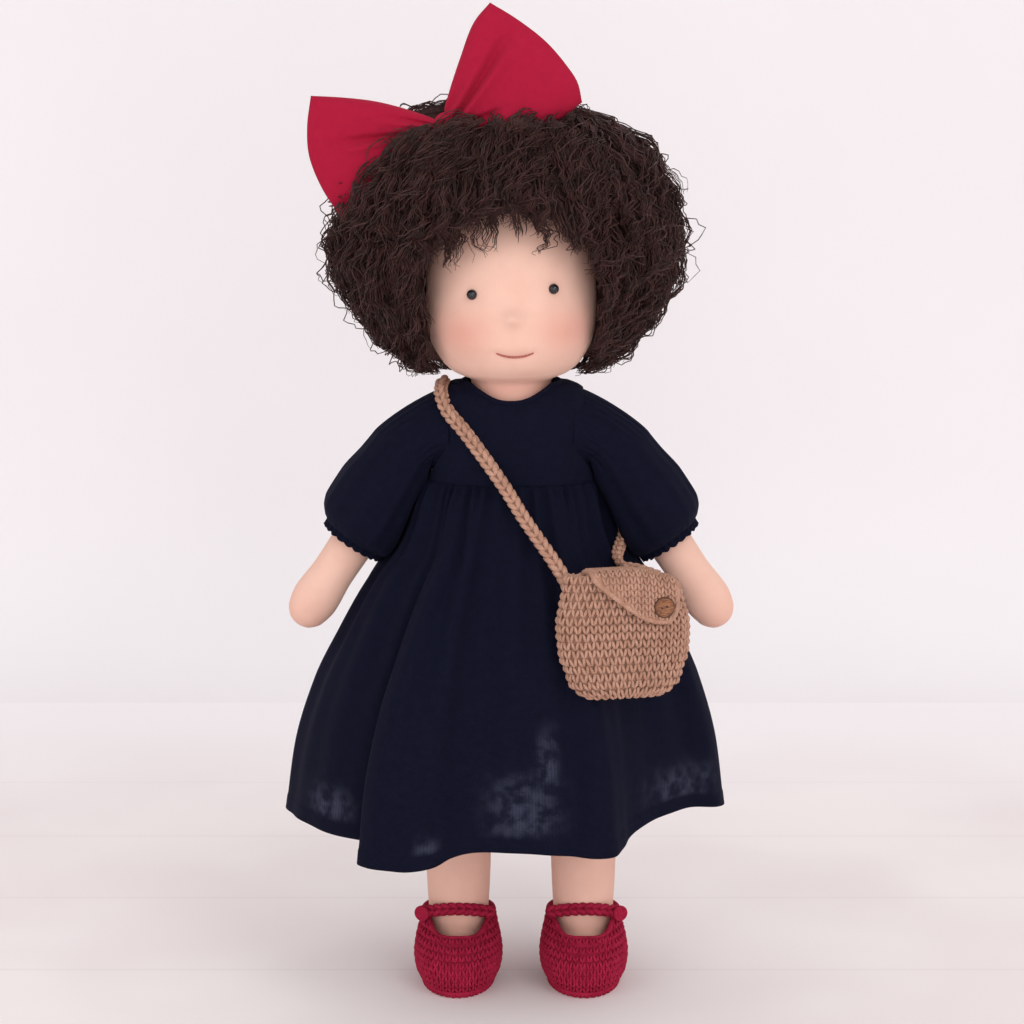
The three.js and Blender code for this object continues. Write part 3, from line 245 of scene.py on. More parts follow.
def loft(name, rings, around=True, capped=False):
    # An object of quads between rings of points, with a UV in metres that follows the cloth.
    rings = np.asarray(rings, float) * mm
    rows, columns = rings.shape[:2]
    spans = columns if around else columns - 1
    closed = np.concatenate([rings, rings[:, :1]], 1) if around else rings
    acrossStep = np.linalg.norm(np.diff(closed, axis=1), axis=2).mean(0)
    downStep = np.linalg.norm(np.diff(rings, axis=0), axis=2).mean(1)
    u = np.concatenate([[0], np.cumsum(acrossStep)])
    v = np.concatenate([[0], np.cumsum(downStep)])
    row, column, quads = gridQuads(rows, columns, rows - 1, spans)
    corners = np.stack([
        np.stack([u[column], v[row]], -1), np.stack([u[column + 1], v[row]], -1),
        np.stack([u[column + 1], v[row + 1]], -1), np.stack([u[column], v[row + 1]], -1),
    ], 1)
    places = [rings.reshape(-1, 3)]
    faces = quads.tolist()
    loopUv = [corners.reshape(-1, 2)]
    for first in (0, rows - 1) if capped else ():
        middle = sum(len(part) for part in places)
        places.append(rings[first].mean(0)[None])
        for column in range(spans):
            faces.append([middle, first * columns + column, first * columns + (column + 1) % columns])
            loopUv.append(np.array([[u[column], v[first]], [u[column], v[first]], [u[column + 1], v[first]]]))
    mesh = meshFrom(name, np.vstack(places), faces, np.vstack(loopUv))
    return objectOf(name, tidyNormals(mesh))


def objectOf(name, mesh):
    made = bpy.data.objects.new(name, mesh)
    scene.collection.objects.link(made)
    return made


def applied(made):
    # The object's own mesh becomes what its modifiers give, and they are removed.
    graph = bpy.context.evaluated_depsgraph_get()
    mesh = bpy.data.meshes.new_from_object(made.evaluated_get(graph))
    made.modifiers.clear()
    old = made.data
    made.data = mesh
    bpy.data.meshes.remove(old)
    mesh.shade_smooth()
    return made


def thickened(made, thickness, offset=-1):
    # A single layer of cloth gets its thickness and closed edges.
    solid = made.modifiers.new("thickness", "SOLIDIFY")
    solid.thickness = thickness * mm
    solid.offset = offset
    return applied(made)


def cutBy(made, cutters, operation="DIFFERENCE"):
    for cutter in cutters:
        cut = made.modifiers.new("cut", "BOOLEAN")
        cut.operation = operation
        cut.solver = "EXACT"
        cut.object = cutter
        applied(made)
        bpy.data.objects.remove(cutter)
    return made


def tubeRings(path, radius, sides=12, closed=False, flatness=1.0, up=None):
    # Rings round a path; the frame is carried along it, or held by the given directions.
    path = np.asarray(path, float)
    if closed:
        ahead = np.roll(path, -1, 0) - np.roll(path, 1, 0)
    else:
        ahead = np.gradient(path, axis=0)
    ahead = unit(ahead)
    if up is None:
        guide = np.array([0, 0, 1.0]) if abs(ahead[0, 2]) < 0.9 else np.array([1.0, 0, 0])
        ups = []
        for direction in ahead:
            guide = guide - direction * guide.dot(direction)
            guide /= np.linalg.norm(guide)
            ups.append(guide)
        up = np.array(ups)
    else:
        up = unit(up - ahead * (up * ahead).sum(1, keepdims=True))
    side = np.cross(ahead, up)
    radius = np.broadcast_to(radius, (len(path),))[:, None, None]
    c, s = roundedTurn(turnOf(sides), 2 if flatness == 1.0 else 3)
    return (
        path[:, None]
        + radius * c[None, :, None] * side[:, None]
        + radius * flatness * s[None, :, None] * up[:, None]
    )


def tube(name, path, radius, sides=12, closed=False, flatness=1.0, up=None):
    rings = tubeRings(path, radius, sides, closed, flatness, up)
    return closedLoft(name, rings) if closed else loft(name, rings, capped=True)


def closedLoft(name, rings):
    # Rings whose last row joins the first one.
    rings = np.asarray(rings, float) * mm
    rows, columns = rings.shape[:2]
    quads = gridQuads(rows, columns, rows, columns)[2]
    return objectOf(name, tidyNormals(meshFrom(name, rings.reshape(-1, 3), quads.tolist())))


def pointValues(made, name, values):
    layer = made.data.attributes.new(name, "FLOAT", "POINT")
    values = np.broadcast_to(np.asarray(values, np.float32), (len(layer.data),))
    layer.data.foreach_set("value", np.ascontiguousarray(values))


def pointPlaces(made):
    # The mesh's points in millimetres.
    places = np.empty(len(made.data.vertices) * 3)
    made.data.vertices.foreach_get("co", places)
    return places.reshape(-1, 3) / mm


def finishPiece(made, material, body, nodes=()):
    made.data.materials.clear()
    made.data.materials.append(material)
    if body:
        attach(made, body)
    if nodes:
        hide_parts(*nodes)
    return made


# Small helpers for materials

def linear(code):
    parts = [int(code[at:at + 2], 16) / 255 for at in (1, 3, 5)]
    return tuple(p / 12.92 if p <= 0.04045 else ((p + 0.055) / 1.055) ** 2.4 for p in parts) + (1,)


def addNode(tree, kind, inputs=None, **settings):
    made = tree.nodes.new(kind)
    for name, value in settings.items():
        setattr(made, name, value)
    for key, value in (inputs or {}).items():
        if isinstance(value, bpy.types.NodeSocket):
            tree.links.new(value, made.inputs[key])
        else:
            made.inputs[key].default_value = value
    return made


def calc(tree, operation, first, second=0.0, third=0.0):
    return addNode(tree, "ShaderNodeMath", {0: first, 1: second, 2: third}, operation=operation).outputs[0]


def mixColor(tree, share, first, second):
    values = {0: share, 6: first, 7: second}
    for key in (6, 7):
        if isinstance(values[key], str):
            values[key] = linear(values[key])
    return addNode(tree, "ShaderNodeMix", values, data_type="RGBA").outputs[2]


def ranged(tree, value, fromLow, fromHigh, toLow=0.0, toHigh=1.0):
    inputs = {"Value": value, "From Min": fromLow, "From Max": fromHigh, "To Min": toLow, "To Max": toHigh}
    return addNode(tree, "ShaderNodeMapRange", inputs, interpolation_type="SMOOTHSTEP").outputs[0]


def newMaterial(name, roughness, sheen=0.0, sheenColor="#ffffff", specular=0.3):
    made = bpy.data.materials.new(name)
    made.use_nodes = True
    tree = made.node_tree
    shader = tree.nodes["Principled BSDF"]
    shader.inputs["Roughness"].default_value = roughness
    shader.inputs["Specular IOR Level"].default_value = specular
    if sheen:
        shader.inputs["Sheen Weight"].default_value = sheen
        shader.inputs["Sheen Roughness"].default_value = 0.5
        shader.inputs["Sheen Tint"].default_value = linear(sheenColor)
    return made, tree


def ownCoordinates(tree):
    return addNode(tree, "ShaderNodeTexCoord").outputs["Object"]


def noiseValue(tree, coordinates, size, detail=2.0):
    # Noise whose blotches are about the given size in millimetres.
    inputs = {"Vector": coordinates, "Scale": 1 / (size * mm), "Detail": detail}
    return addNode(tree, "ShaderNodeTexNoise", inputs).outputs[0]


def threadWaves(tree, pitch, crossPitch=None):
    # Waves along and across the cloth, from its UV in metres.
    uv = addNode(tree, "ShaderNodeUVMap", uv_map="cloth").outputs[0]
    parts = addNode(tree, "ShaderNodeSeparateXYZ", {0: uv})
    return [
        calc(tree, "SINE", calc(tree, "MULTIPLY", parts.outputs[axis], fullTurn / (size * mm)))
        for axis, size in enumerate((pitch, crossPitch or pitch))
    ]


def coloured(made, tone, height=None, distance=0.1, strength=0.5):
    # Gives a material its colour, and its relief from a height.
    tree = made.node_tree
    shader = tree.nodes["Principled BSDF"]
    tree.links.new(tone, shader.inputs["Base Color"])
    if height is not None:
        inputs = {"Height": height, "Distance": distance * mm, "Strength": strength}
        tree.links.new(addNode(tree, "ShaderNodeBump", inputs).outputs[0], shader.inputs["Normal"])
    return made


def attributeValue(tree, name):
    return addNode(tree, "ShaderNodeAttribute", attribute_name=name).outputs["Fac"]


# Materials

def jerseyMaterial():
    made, tree = newMaterial("skin jersey", 0.85, 0.25, "#f6d2c2", 0.15)
    place = ownCoordinates(tree)
    wales, courses = threadWaves(tree, 0.9, 0.7)
    tone = mixColor(tree, ranged(tree, noiseValue(tree, place, 14, 3), 0.35, 0.7), "#f2c6b4", "#eec0ae")
    # The blush attribute holds pink blush and painted shade under the chin.
    tone = mixColor(tree, attributeValue(tree, "blush_and_shade"), tone, "#e2a090")
    courses = calc(tree, "MULTIPLY", calc(tree, "ABSOLUTE", courses), 0.6)
    knit = calc(tree, "ADD", calc(tree, "ABSOLUTE", wales), courses)
    # Painted shade: the low places between the knit's loops are a little darker.
    tone = mixColor(tree, ranged(tree, knit, 0.0, 0.5, 0.10, 0.0), tone, "#c98f7c")
    fuzz = noiseValue(tree, place, 0.8, 2)
    return coloured(made, tone, calc(tree, "ADD", knit, fuzz), 0.08)


def wovenMaterial(name, dark, light, pitch, sheenColor, thinLight=None):
    made, tree = newMaterial(name, 0.9, 0.07, sheenColor, 0.08)
    place = ownCoordinates(tree)
    weave = calc(tree, "MULTIPLY", *threadWaves(tree, pitch))
    relief = calc(tree, "ADD", weave, noiseValue(tree, place, 3.2, 3))
    tone = mixColor(tree, ranged(tree, relief, -0.2, 1.6), dark, light)
    if thinLight:
        # Painted light: where the cloth is thin, pale light from behind is painted in between the threads.
        coarse = [calc(tree, "ABSOLUTE", wave) for wave in threadWaves(tree, 2.3, 1.9)]
        lightThroughGaps = attributeValue(tree, "thin_backlight")
        for value, limits in (
            (noiseValue(tree, place, 6.0, 4), (0.36, 0.66, 0.1, 0.8)),
            (calc(tree, "MAXIMUM", *coarse), (0.5, 1.0, 1.0, 0.6)),
            (weave, (-0.6, 0.6, 0.6, 1.0)),
        ):
            lightThroughGaps = calc(tree, "MULTIPLY", lightThroughGaps, ranged(tree, value, *limits))
        tone = mixColor(tree, lightThroughGaps, tone, thinLight)
    return coloured(made, tone, relief, 0.12)


def yarnMaterial(name, dark, middle, light):
    made, tree = newMaterial(name, 0.9, 0.3, light, 0.1)
    place = ownCoordinates(tree)
    fibres = noiseValue(tree, place, 0.5, 3)
    patches = noiseValue(tree, place, 5.0, 2)
    tone = mixColor(tree, ranged(tree, fibres, 0.3, 0.7), middle, light)
    tone = mixColor(tree, ranged(tree, patches, 0.3, 0.75, 0.0, 0.45), tone, dark)
    return coloured(made, tone, fibres, 0.25, 0.7)


def hairMaterial():
    made, tree = newMaterial("hair mohair", 0.55, 0.2, "#7a5a50", 0.35)
    place = ownCoordinates(tree)
    tone = mixColor(tree, ranged(tree, noiseValue(tree, place, 6, 3), 0.3, 0.7), "#25120f", "#442523")
    tone = mixColor(tree, ranged(tree, noiseValue(tree, place, 1.2, 2), 0.5, 0.8, 0.0, 0.5), tone, "#65433c")
    return coloured(made, tone, noiseValue(tree, place, 0.5, 2), 0.1, 0.3)


def woodMaterial():
    made, tree = newMaterial("button wood", 0.5, specular=0.4)
    inputs = {"Vector": ownCoordinates(tree), "Scale": (1, 1, 6)}
    grain = noiseValue(tree, addNode(tree, "ShaderNodeMapping", inputs).outputs[0], 2.4, 4)
    tone = mixColor(tree, ranged(tree, grain, 0.35, 0.65), "#6b3f28", "#a06a45")
    # Painted shade in the button's two thread holes and round its rim.
    tone = mixColor(tree, attributeValue(tree, "hole_and_rim_shade"), tone, "#3a1d14")
    return coloured(made, tone, grain, 0.15, 0.4)


def beadMaterial():
    made, tree = newMaterial("eye bead", 0.12, specular=0.6)
    clouds = noiseValue(tree, ownCoordinates(tree), 1.5, 2)
    return coloured(made, mixColor(tree, clouds, "#0b0c12", "#1a1b24"))


def steelMaterial():
    made, tree = newMaterial("clip steel", 0.32, specular=0.5)
    shader = tree.nodes["Principled BSDF"]
    shader.inputs["Metallic"].default_value = 1
    scratches = noiseValue(tree, ownCoordinates(tree), 0.6, 3)
    tree.links.new(ranged(tree, scratches, 0.2, 0.8, 0.25, 0.42), shader.inputs["Roughness"])
    return coloured(made, mixColor(tree, scratches, "#9a9ca0", "#c4c6c9"))


def plainThreadMaterial(name, dark, light, size=0.4):
    made, tree = newMaterial(name, 0.85, specular=0.15)
    fibres = noiseValue(tree, ownCoordinates(tree), size, 3)
    return coloured(made, mixColor(tree, fibres, dark, light), fibres)


skinJersey = jerseyMaterial()
navyLinen = wovenMaterial("dress linen", "#0a0b1b", "#15172b", 0.75, "#4c5078", "#4d5064")
bowCotton = wovenMaterial("bow cotton", "#a31836", "#b8203f", 0.6, "#ff9fb0")
tanYarn = yarnMaterial("tan yarn", "#8f6450", "#b58a76", "#c9a08c")
redYarn = yarnMaterial("red yarn", "#7c1029", "#9c1b39", "#b42a4a")
mohair = hairMaterial()
buttonWood = woodMaterial()
eyeBead = beadMaterial()
clipSteel = steelMaterial()
mouthThread = plainThreadMaterial("mouth thread", "#a2584f", "#b8716a")
navyPlastic = plainThreadMaterial("navy button", "#11122a", "#1c1d38", 1.5)
elasticCord = plainThreadMaterial("elastic cord", "#1a1b2c", "#2a2b40")
print("materials are made")


# The floor and the wall

room = {"half": 3.0, "wallFront": 0.5, "bendRadius": 0.12, "overFloor": 0.0004, "board": 0.105}


def floorMaterial():
    made, tree = newMaterial("pale boards", 0.9, specular=0.1)
    place = ownCoordinates(tree)
    depth = addNode(tree, "ShaderNodeSeparateXYZ", {0: place}).outputs[1]
    tone = mixColor(tree, ranged(tree, noiseValue(tree, place, 160, 2), 0.35, 0.65), "#fbf4f3", "#f5ecec")
    # The joints between the painted boards.
    joint = calc(tree, "SINE", calc(tree, "MULTIPLY", depth, math.pi / room["board"]))
    joint = calc(tree, "ABSOLUTE", joint)
    tone = mixColor(tree, ranged(tree, joint, 0.0, 0.05, 0.22, 0.0), tone, "#d9cecd")
    # Painted light: the floor is painted lighter towards the wall, to meet the wall's brightness.
    return coloured(made, mixColor(tree, ranged(tree, depth, 0.2, 0.5), tone, "#fdf9fa"))


def wallMaterial():
    made, tree = newMaterial("pale wall", 0.95, specular=0.05)
    clouds = noiseValue(tree, ownCoordinates(tree), 420, 3)
    coloured(made, mixColor(tree, ranged(tree, clouds, 0.3, 0.7), "#fbf7f9", "#f6f2f4"))
    # Seen from behind, the wall lets the view through, so that the doll's back can be looked at.
    choice = addNode(tree, "ShaderNodeMixShader", {
        0: addNode(tree, "ShaderNodeNewGeometry").outputs["Backfacing"],
        1: tree.nodes["Principled BSDF"].outputs[0],
        2: addNode(tree, "ShaderNodeBsdfTransparent").outputs[0],
    })
    tree.links.new(choice.outputs[0], tree.nodes["Material Output"].inputs["Surface"])
    return made


half = room["half"]
floorPlaces = np.array([(-half, -half, 0), (half, -half, 0), (half, half, 0), (-half, half, 0)])
floor = objectOf("floor", meshFrom("floor", floorPlaces, [[0, 1, 2, 3]]))
floor.data.materials.append(floorMaterial())
# The wall leaves the floor in a bend.
bendRadius = room["bendRadius"]
wallLine = [
    (room["wallFront"] + bendRadius * math.sin(turn), bendRadius * (1 - math.cos(turn)))
    for turn in np.linspace(0.0, math.pi / 2, 13)
]
wallLine.append((room["wallFront"] + bendRadius, half))
wallPlaces = np.array([(x, y, z + room["overFloor"]) for y, z in wallLine for x in (-half, half)])
wallFaces = [[2 * at, 2 * at + 1, 2 * at + 3, 2 * at + 2] for at in range(len(wallLine) - 1)]
wall = objectOf("wall", meshFrom("wall", wallPlaces, wallFaces))
wall.data.shade_smooth()
wall.data.materials.append(wallMaterial())


# Stuffed body, head and limbs

torso = {
    "bottom": 142.1, "height": 133.5, "centre": 1.0, "halfWidth": 40.0, "halfDepth": 26.0,
    "chest": (3.8, 4.0), "power": 2.3, "columns": 84,
    # Share of the height, then shares of the width, the depth and what the chest takes off.
    "rows": [
        (0, 0.05, 0.03, 0), (0.004, 0.5, 0.34, 0), (0.02, 0.86, 0.62, 0), (0.05, 0.96, 0.84, 0),
        (0.09, 0.98, 0.94, 0), (0.2, 1, 1, 0), (0.38, 0.94, 1, 0.25), (0.56, 0.96, 1, 0.7),
        (0.74, 1, 1.03, 1), (0.87, 1, 1, 1), (0.93, 0.93, 0.9, 1), (0.97, 0.82, 0.76, 1),
        (0.993, 0.64, 0.58, 1), (1, 0.3, 0.25, 1),
    ],
}
# The bodice's values are here because the arms stay clear of it.
bodice = {
    "bottom": 234.9, "height": 43.2, "halfWidth": 38.6, "halfDepth": 28.0, "power": 2.3, "centre": 1.0,
    "rows": [
        (0, 1, 1), (0.35, 1.01, 0.98), (0.6, 1, 0.92), (0.8, 0.96, 0.84), (0.9, 0.88, 0.74),
        (0.96, 0.8, 0.67), (1, 0.7, 0.58), (1.12, 0.45, 0.5),
    ],
    "columns": 220, "tuck": 0.9, "cloth": 1.0, "binding": 1.15,
    "armhole": {"radius": 20.2, "z": 255.1}, "neck": {"halfWidth": 21.6, "halfDepth": 22.4, "y": -0.8},
}
head = {
    "bottom": 280.1, "height": 86.0, "centre": 1.0, "halfWidth": 38.4, "halfDepth": 40.0, "columns": 150,
    "rows": [
        (0, 0.5), (0.035, 0.68), (0.1, 0.83), (0.22, 0.96), (0.36, 1), (0.5, 0.985), (0.64, 0.94),
        (0.78, 0.83), (0.9, 0.62), (0.97, 0.34), (0.995, 0.12), (1, 0.03),
    ],
    # Height and radius up the neck.
    "neck": [
        (266.1, 12.0), (266.4, 17.6), (267.5, 18.6), (271, 18.5), (275, 18.3), (277.6, 18.0), (279, 18.1),
    ],
    # The size of each hill or hollow is across, then up.
    "nose": {"place": (2.0, 310.4), "size": (4.6, 3.5), "out": 3.3},
    "eyes": {
        "middle": 1.7, "apart": 17.8, "z": 321.6, "tilt": 1.2, "radius": 2.3, "sunk": 0.9,
        "dent": 0.9, "dentSize": (4.4, 3.4),
    },
    "tie": {"depth": 0.7, "tall": 9.0},
    "mouth": {
        "x": 2.6, "half": 8.2, "z": 294.9, "sag": 1.8, "thread": 0.45, "depth": 0.75, "tall": 1.6,
        "blush_and_shade": 0.16, "blushSize": (8, 2.6),
    },
    "cheeks": [(-21.0, 303.5), (26.5, 304.5)], "cheekSize": (13, 10), "blush_and_shade": 0.7, "blushSize": (12, 9.5),
}
arm = {
    "pivots": {"right": -37.0, "left": 39.0}, "z": 255.1, "spread": 33.7, "besideDress": 42.0,
    "columns": 64, "seam": {"depth": 0.025, "wide": 0.12}, "blush_and_shade": 0.22,
    "rows": [
        (-2.6, 0.6, 0.6), (-2.2, 3, 3), (-1, 5.2, 5.2), (1.5, 7.2, 7.2), (6, 9.2, 9.2), (12.7, 11, 11),
        (26.8, 12, 12), (44.9, 11.5, 11.5), (62.1, 10, 10), (77, 9.7, 9.7), (92, 10.8, 10.2),
        (100.6, 9.1, 8.6), (105.4, 5.4, 5.2), (106.7, 2.4, 2.3), (107, 0.4, 0.4),
    ],
}
leg = {
    "middles": {"right": -23.5, "left": 34.5}, "y": -0.4, "columns": 64, "voxel": 1.3,
    "rows": [
        (4.2, 8.8), (9.6, 12.6), (24, 13.4), (43.2, 14.6), (63.5, 15.2), (101.6, 15.2), (127, 14.7),
        (134.25, 12.6), (138.9, 8.3), (141, 4.2), (141.5, 0.8),
    ],
    "foot": {"y": -11.0, "z": 12.65, "half": (15.5, 24.0, 9.35)}, "blush_and_shade": (0.1, 0.3),
}


def makeTorso():
    share = steps((0, 1, 90), (0, 0.05, 10), (0.96, 1, 10))
    width, depth, chest = rowsAt(torso["rows"], share).T
    halfWidth = (torso["halfWidth"] - torso["chest"][0] * chest) * width
    halfDepth = (torso["halfDepth"] - torso["chest"][1] * chest) * depth
    heights = torso["bottom"] + torso["height"] * share
    rings = stackRings(heights, halfWidth, halfDepth, torso["power"], torso["columns"], (torso["centre"], 0))
    made = loft("stuffed_body", rings, capped=True)
    pointValues(made, "blush_and_shade", 0)
    finishPiece(made, skinJersey, "root", ["torso_skin", "torso_wool"])


def faceDepth(x, z):
    # How far in front of the middle the plain face stands at this place.
    width = rowsAt(head["rows"], [(z - head["bottom"]) / head["height"]])[0, 0]
    share = (x - head["centre"]) / (head["halfWidth"] * width)
    return -head["halfDepth"] * width * math.sqrt(max(0.0, 1 - share**2))


def hill(x, z, place, size):
    return np.exp(-((x - place[0]) / size[0]) ** 2 - ((z - place[1]) / size[1]) ** 2)


def eyePlace(side):
    eyes = head["eyes"]
    return eyes["middle"] + side * eyes["apart"], eyes["z"] + side * eyes["tilt"]


def makeHead():
    share = steps((0, 1, 110), (0, 0.04, 8), (0.96, 1, 12))
    width = rowsAt(head["rows"], share)[:, 0]
    neckHeight, neckRadius = np.array(head["neck"]).T
    heights = np.concatenate([neckHeight, head["bottom"] + head["height"] * share])
    halfWidth = np.concatenate([neckRadius, head["halfWidth"] * width])
    halfDepth = np.concatenate([neckRadius, head["halfDepth"] * width])
    rings = stackRings(heights, halfWidth, halfDepth, 2.0, head["columns"], (head["centre"], 0))
    x, y, z = np.moveaxis(rings, -1, 0)
    front = smoothStep(-y, 4, 16)
    nose, eyes, tie, mouth = head["nose"], head["eyes"], head["tie"], head["mouth"]
    out = nose["out"] * hill(x, z, nose["place"], nose["size"])
    for side in (-1, 1):
        out = out - eyes["dent"] * hill(x, z, eyePlace(side), eyes["dentSize"])
    # The thread tied round the head at the eyes leaves a shallow hollow.
    out = out - tie["depth"] * np.exp(-((z - eyes["z"]) / tie["tall"]) ** 2)
    for cheek in head["cheeks"]:
        out = out + hill(x, z, cheek, head["cheekSize"])
    # The stitch of the mouth pulls the jersey in.
    line = mouth["z"] - mouth["sag"] * (1 - np.clip((x - mouth["x"]) / mouth["half"], -1, 1) ** 2)
    near = smoothStep(mouth["half"] + 3 - abs(x - mouth["x"]), 0, 3)
    out = out - mouth["depth"] * near * np.exp(-((z - line) / mouth["tall"]) ** 2)
    rings[..., 1] -= out * front
    made = loft("stuffed_head", rings, capped=True)
    x, y, z = pointPlaces(made).T
    blush_and_shade = sum(head["blush_and_shade"] * hill(x, z, cheek, head["blushSize"]) for cheek in head["cheeks"])
    blush_and_shade = blush_and_shade + mouth["blush_and_shade"] * hill(x, z, (mouth["x"], mouth["z"] - 1), mouth["blushSize"])
    # Blush on the front alone, and painted shade under the chin.
    blush_and_shade = blush_and_shade * smoothStep(-y, 0, 12) + 0.4 * smoothStep(-z, -284, -278)
    pointValues(made, "blush_and_shade", np.clip(blush_and_shade, 0, 1))
    finishPiece(made, skinJersey, "head", ["head_skin", "head_wool"])


def armAxes(sideName):
    # Which side it is, the directions along and across the arm, and the place of its joint.
    side = 1 if sideName == "left" else -1
    spread = math.radians(arm["spread"])
    along = np.array([side * math.sin(spread), 0, -math.cos(spread)])
    across = np.array([side * math.cos(spread), 0, math.sin(spread)])
    return side, along, across, np.array([arm["pivots"][sideName], 0, arm["z"]])


def makeArm(sideName):
    side, along, across, start = armAxes(sideName)
    places = steps((-2.6, 107, 110), (-2.6, 0, 8), (104, 107, 12))
    wide, deep = rowsAt(arm["rows"], places).T
    turn = turnOf(arm["columns"])
    # The seam down the inside of the arm pulls the jersey in a little.
    seam = 1 - arm["seam"]["depth"] * np.exp(-((turn - math.pi) / arm["seam"]["wide"]) ** 2)
    rings = (
        start + along * places[:, None, None]
        + across * (wide[:, None] * np.cos(turn) * seam)[..., None]
        + np.array([0, 1, 0]) * (deep[:, None] * np.sin(turn) * seam)[..., None]
    )
    # The top of the arm stays clear of the dress, so that the sleeve covers it as the arm swings.
    beyond = side * (rings[..., 0] - bodice["centre"])
    least = arm["besideDress"] * smoothStep(places, 0, 8)[:, None]
    rings[..., 0] = bodice["centre"] + side * np.maximum(beyond, least)
    made = loft(sideName + "_stuffed_arm", rings, capped=True)
    reach = (pointPlaces(made) - start) @ along
    pointValues(made, "blush_and_shade", arm["blush_and_shade"] * smoothStep(reach, 84, 106))
    nodes = [sideName + "_arm_skin", sideName + "_arm_wool"]
    finishPiece(made, skinJersey, sideName + "_arm", nodes)


def makeLeg(sideName):
    middle = leg["middles"][sideName]
    heights = steps((4.2, 141.5, 90), (136, 141.5, 14))
    radius = rowsAt(leg["rows"], heights)[:, 0]
    rings = stackRings(heights, radius, radius, 2.0, leg["columns"], (middle, leg["y"]))
    made = loft(sideName + "_stuffed_leg", rings, capped=True)
    foot = leg["foot"]
    footRings = ballRings((middle, foot["y"], foot["z"]), foot["half"], 36, leg["columns"], 0.02)
    toe = loft("toe", footRings, capped=True)
    cutBy(made, [toe], "UNION")
    # The join at the ankle is rounded as stuffing rounds it.
    remesh = made.modifiers.new("round", "REMESH")
    remesh.mode = "VOXEL"
    remesh.voxel_size = leg["voxel"] * mm
    smooth = made.modifiers.new("smooth", "SMOOTH")
    smooth.iterations = 3
    smooth.factor = 0.5
    applied(made)
    # The remeshed surface gets its UV anew, laid flat from the front.
    layer = made.data.uv_layers.new(name="cloth")
    places = pointPlaces(made)
    loops = np.empty(len(made.data.loops), int)
    made.data.loops.foreach_get("vertex_index", loops)
    flat = np.stack([places[:, 0] * 1.3, places[:, 2]], -1) * mm
    layer.data.foreach_set("uv", flat[loops].astype(np.float32).ravel())
    upper, lower = leg["blush_and_shade"]
    pointValues(made, "blush_and_shade", (lower - upper) * smoothStep(-places[:, 2], -40, -20) + upper)
    nodes = [sideName + "_leg_skin", sideName + "_leg_wool"]
    finishPiece(made, skinJersey, sideName + "_leg", nodes)


def makeFace():
    eyes = head["eyes"]
    for side, name in ((-1, "right_eye"), (1, "left_eye")):
        x, z = eyePlace(side)
        rings = ballRings((x, faceDepth(x, z) + eyes["sunk"], z), [eyes["radius"]] * 3, 22, 32)
        made = loft(name + "_bead", rings, capped=True)
        finishPiece(made, eyeBead, "head", [name])
    mouth = head["mouth"]
    share = np.linspace(-1, 1, 60)
    x = mouth["x"] + mouth["half"] * share
    z = mouth["z"] - mouth["sag"] * (1 - share**2)
    y = np.array([faceDepth(px, pz) for px, pz in zip(x, z)]) + 0.15
    thick = mouth["thread"] * (0.55 + 0.45 * (1 - share**4)) * (1 + 0.12 * np.sin(share * 34))
    made = tube("smile", np.stack([x, y, z], -1), thick, 10)
    finishPiece(made, mouthThread, "head", ["mouth_stitch"])


makeTorso()
makeHead()
makeFace()
for sideName in ("right", "left"):
    makeArm(sideName)
    makeLeg(sideName)
print("stuffed pieces are made")


# The dress

skirt = {
    "top": 234.6, "drop": 157.0, "halfWidth": 38.6, "halfDepth": 28.0,
    "flareWidth": 61.9, "flareDepth": 45.5, "columns": 420, "rowCount": 88, "cloth": 0.8,
    "rows": [
        (0, 0, 0), (0.03, 0.045, 0.09), (0.07, 0.085, 0.17), (0.12, 0.125, 0.24), (0.19, 0.2, 0.35),
        (0.26, 0.33, 0.44), (0.35, 0.47, 0.55), (0.45, 0.6, 0.66), (0.6, 0.78, 0.79), (0.8, 0.93, 0.91),
        (1, 1, 1),
    ],
    # The front of the hem as it hangs, from the doll's right side round to its left side.
    "frontHem": [
        (-103.0, 4, 79.2), (-98.5, -16, 80.0), (-88.0, -34, 80.2), (-77.7, -46, 79.6), (-66.5, -52, 79.3),
        (-59.5, -54, 78.8), (-58.0, -59, 77.0), (-62.0, -64, 74.6), (-66.4, -68, 73.6), (-61.7, -74, 73.4),
        (-53, -77, 73), (-44.6, -78, 72.6), (-33.2, -76, 74.2), (-24.9, -72, 77.3), (-16.3, -69, 78.6),
        (2.2, -69, 78.6), (18, -72, 78.5), (37.5, -76, 78.1), (46.2, -74, 78.4), (50.2, -64, 79.4),
        (52.8, -54, 80.6), (60.5, -42, 83), (71.4, -30, 84.7), (82.2, -22, 85.3), (95.4, -14, 83.4),
        (98.9, -2, 81.7),
    ],
    "backHem": {
        "centre": (-1, 1), "half": (99.5, 70.5), "z": 80.5, "sway": 2.2, "folds": 7, "foldDepth": 0.09,
    },
    "gatherPitch": 5.2, "gatherDepth": 1.8, "gatherFade": 20.0, "foldDepth": 1.65,
    # Where the largest front fold dips in, its width and its depth.
    "valley": {"x": 27, "wide": 6.0, "depth": 2.6},
    # Middle, half width and half height of the places where painted light shows through the thin cloth.
    "backlitPatches": [
        (6.0, 97.0, 15.0, 15.0), (17.0, 117.0, 4.5, 15.0), (78.0, 95.0, 15.0, 10.0),
        (-80.0, 92.0, 10.0, 8.0), (-36.0, 80.0, 5.0, 7.0),
    ],
}
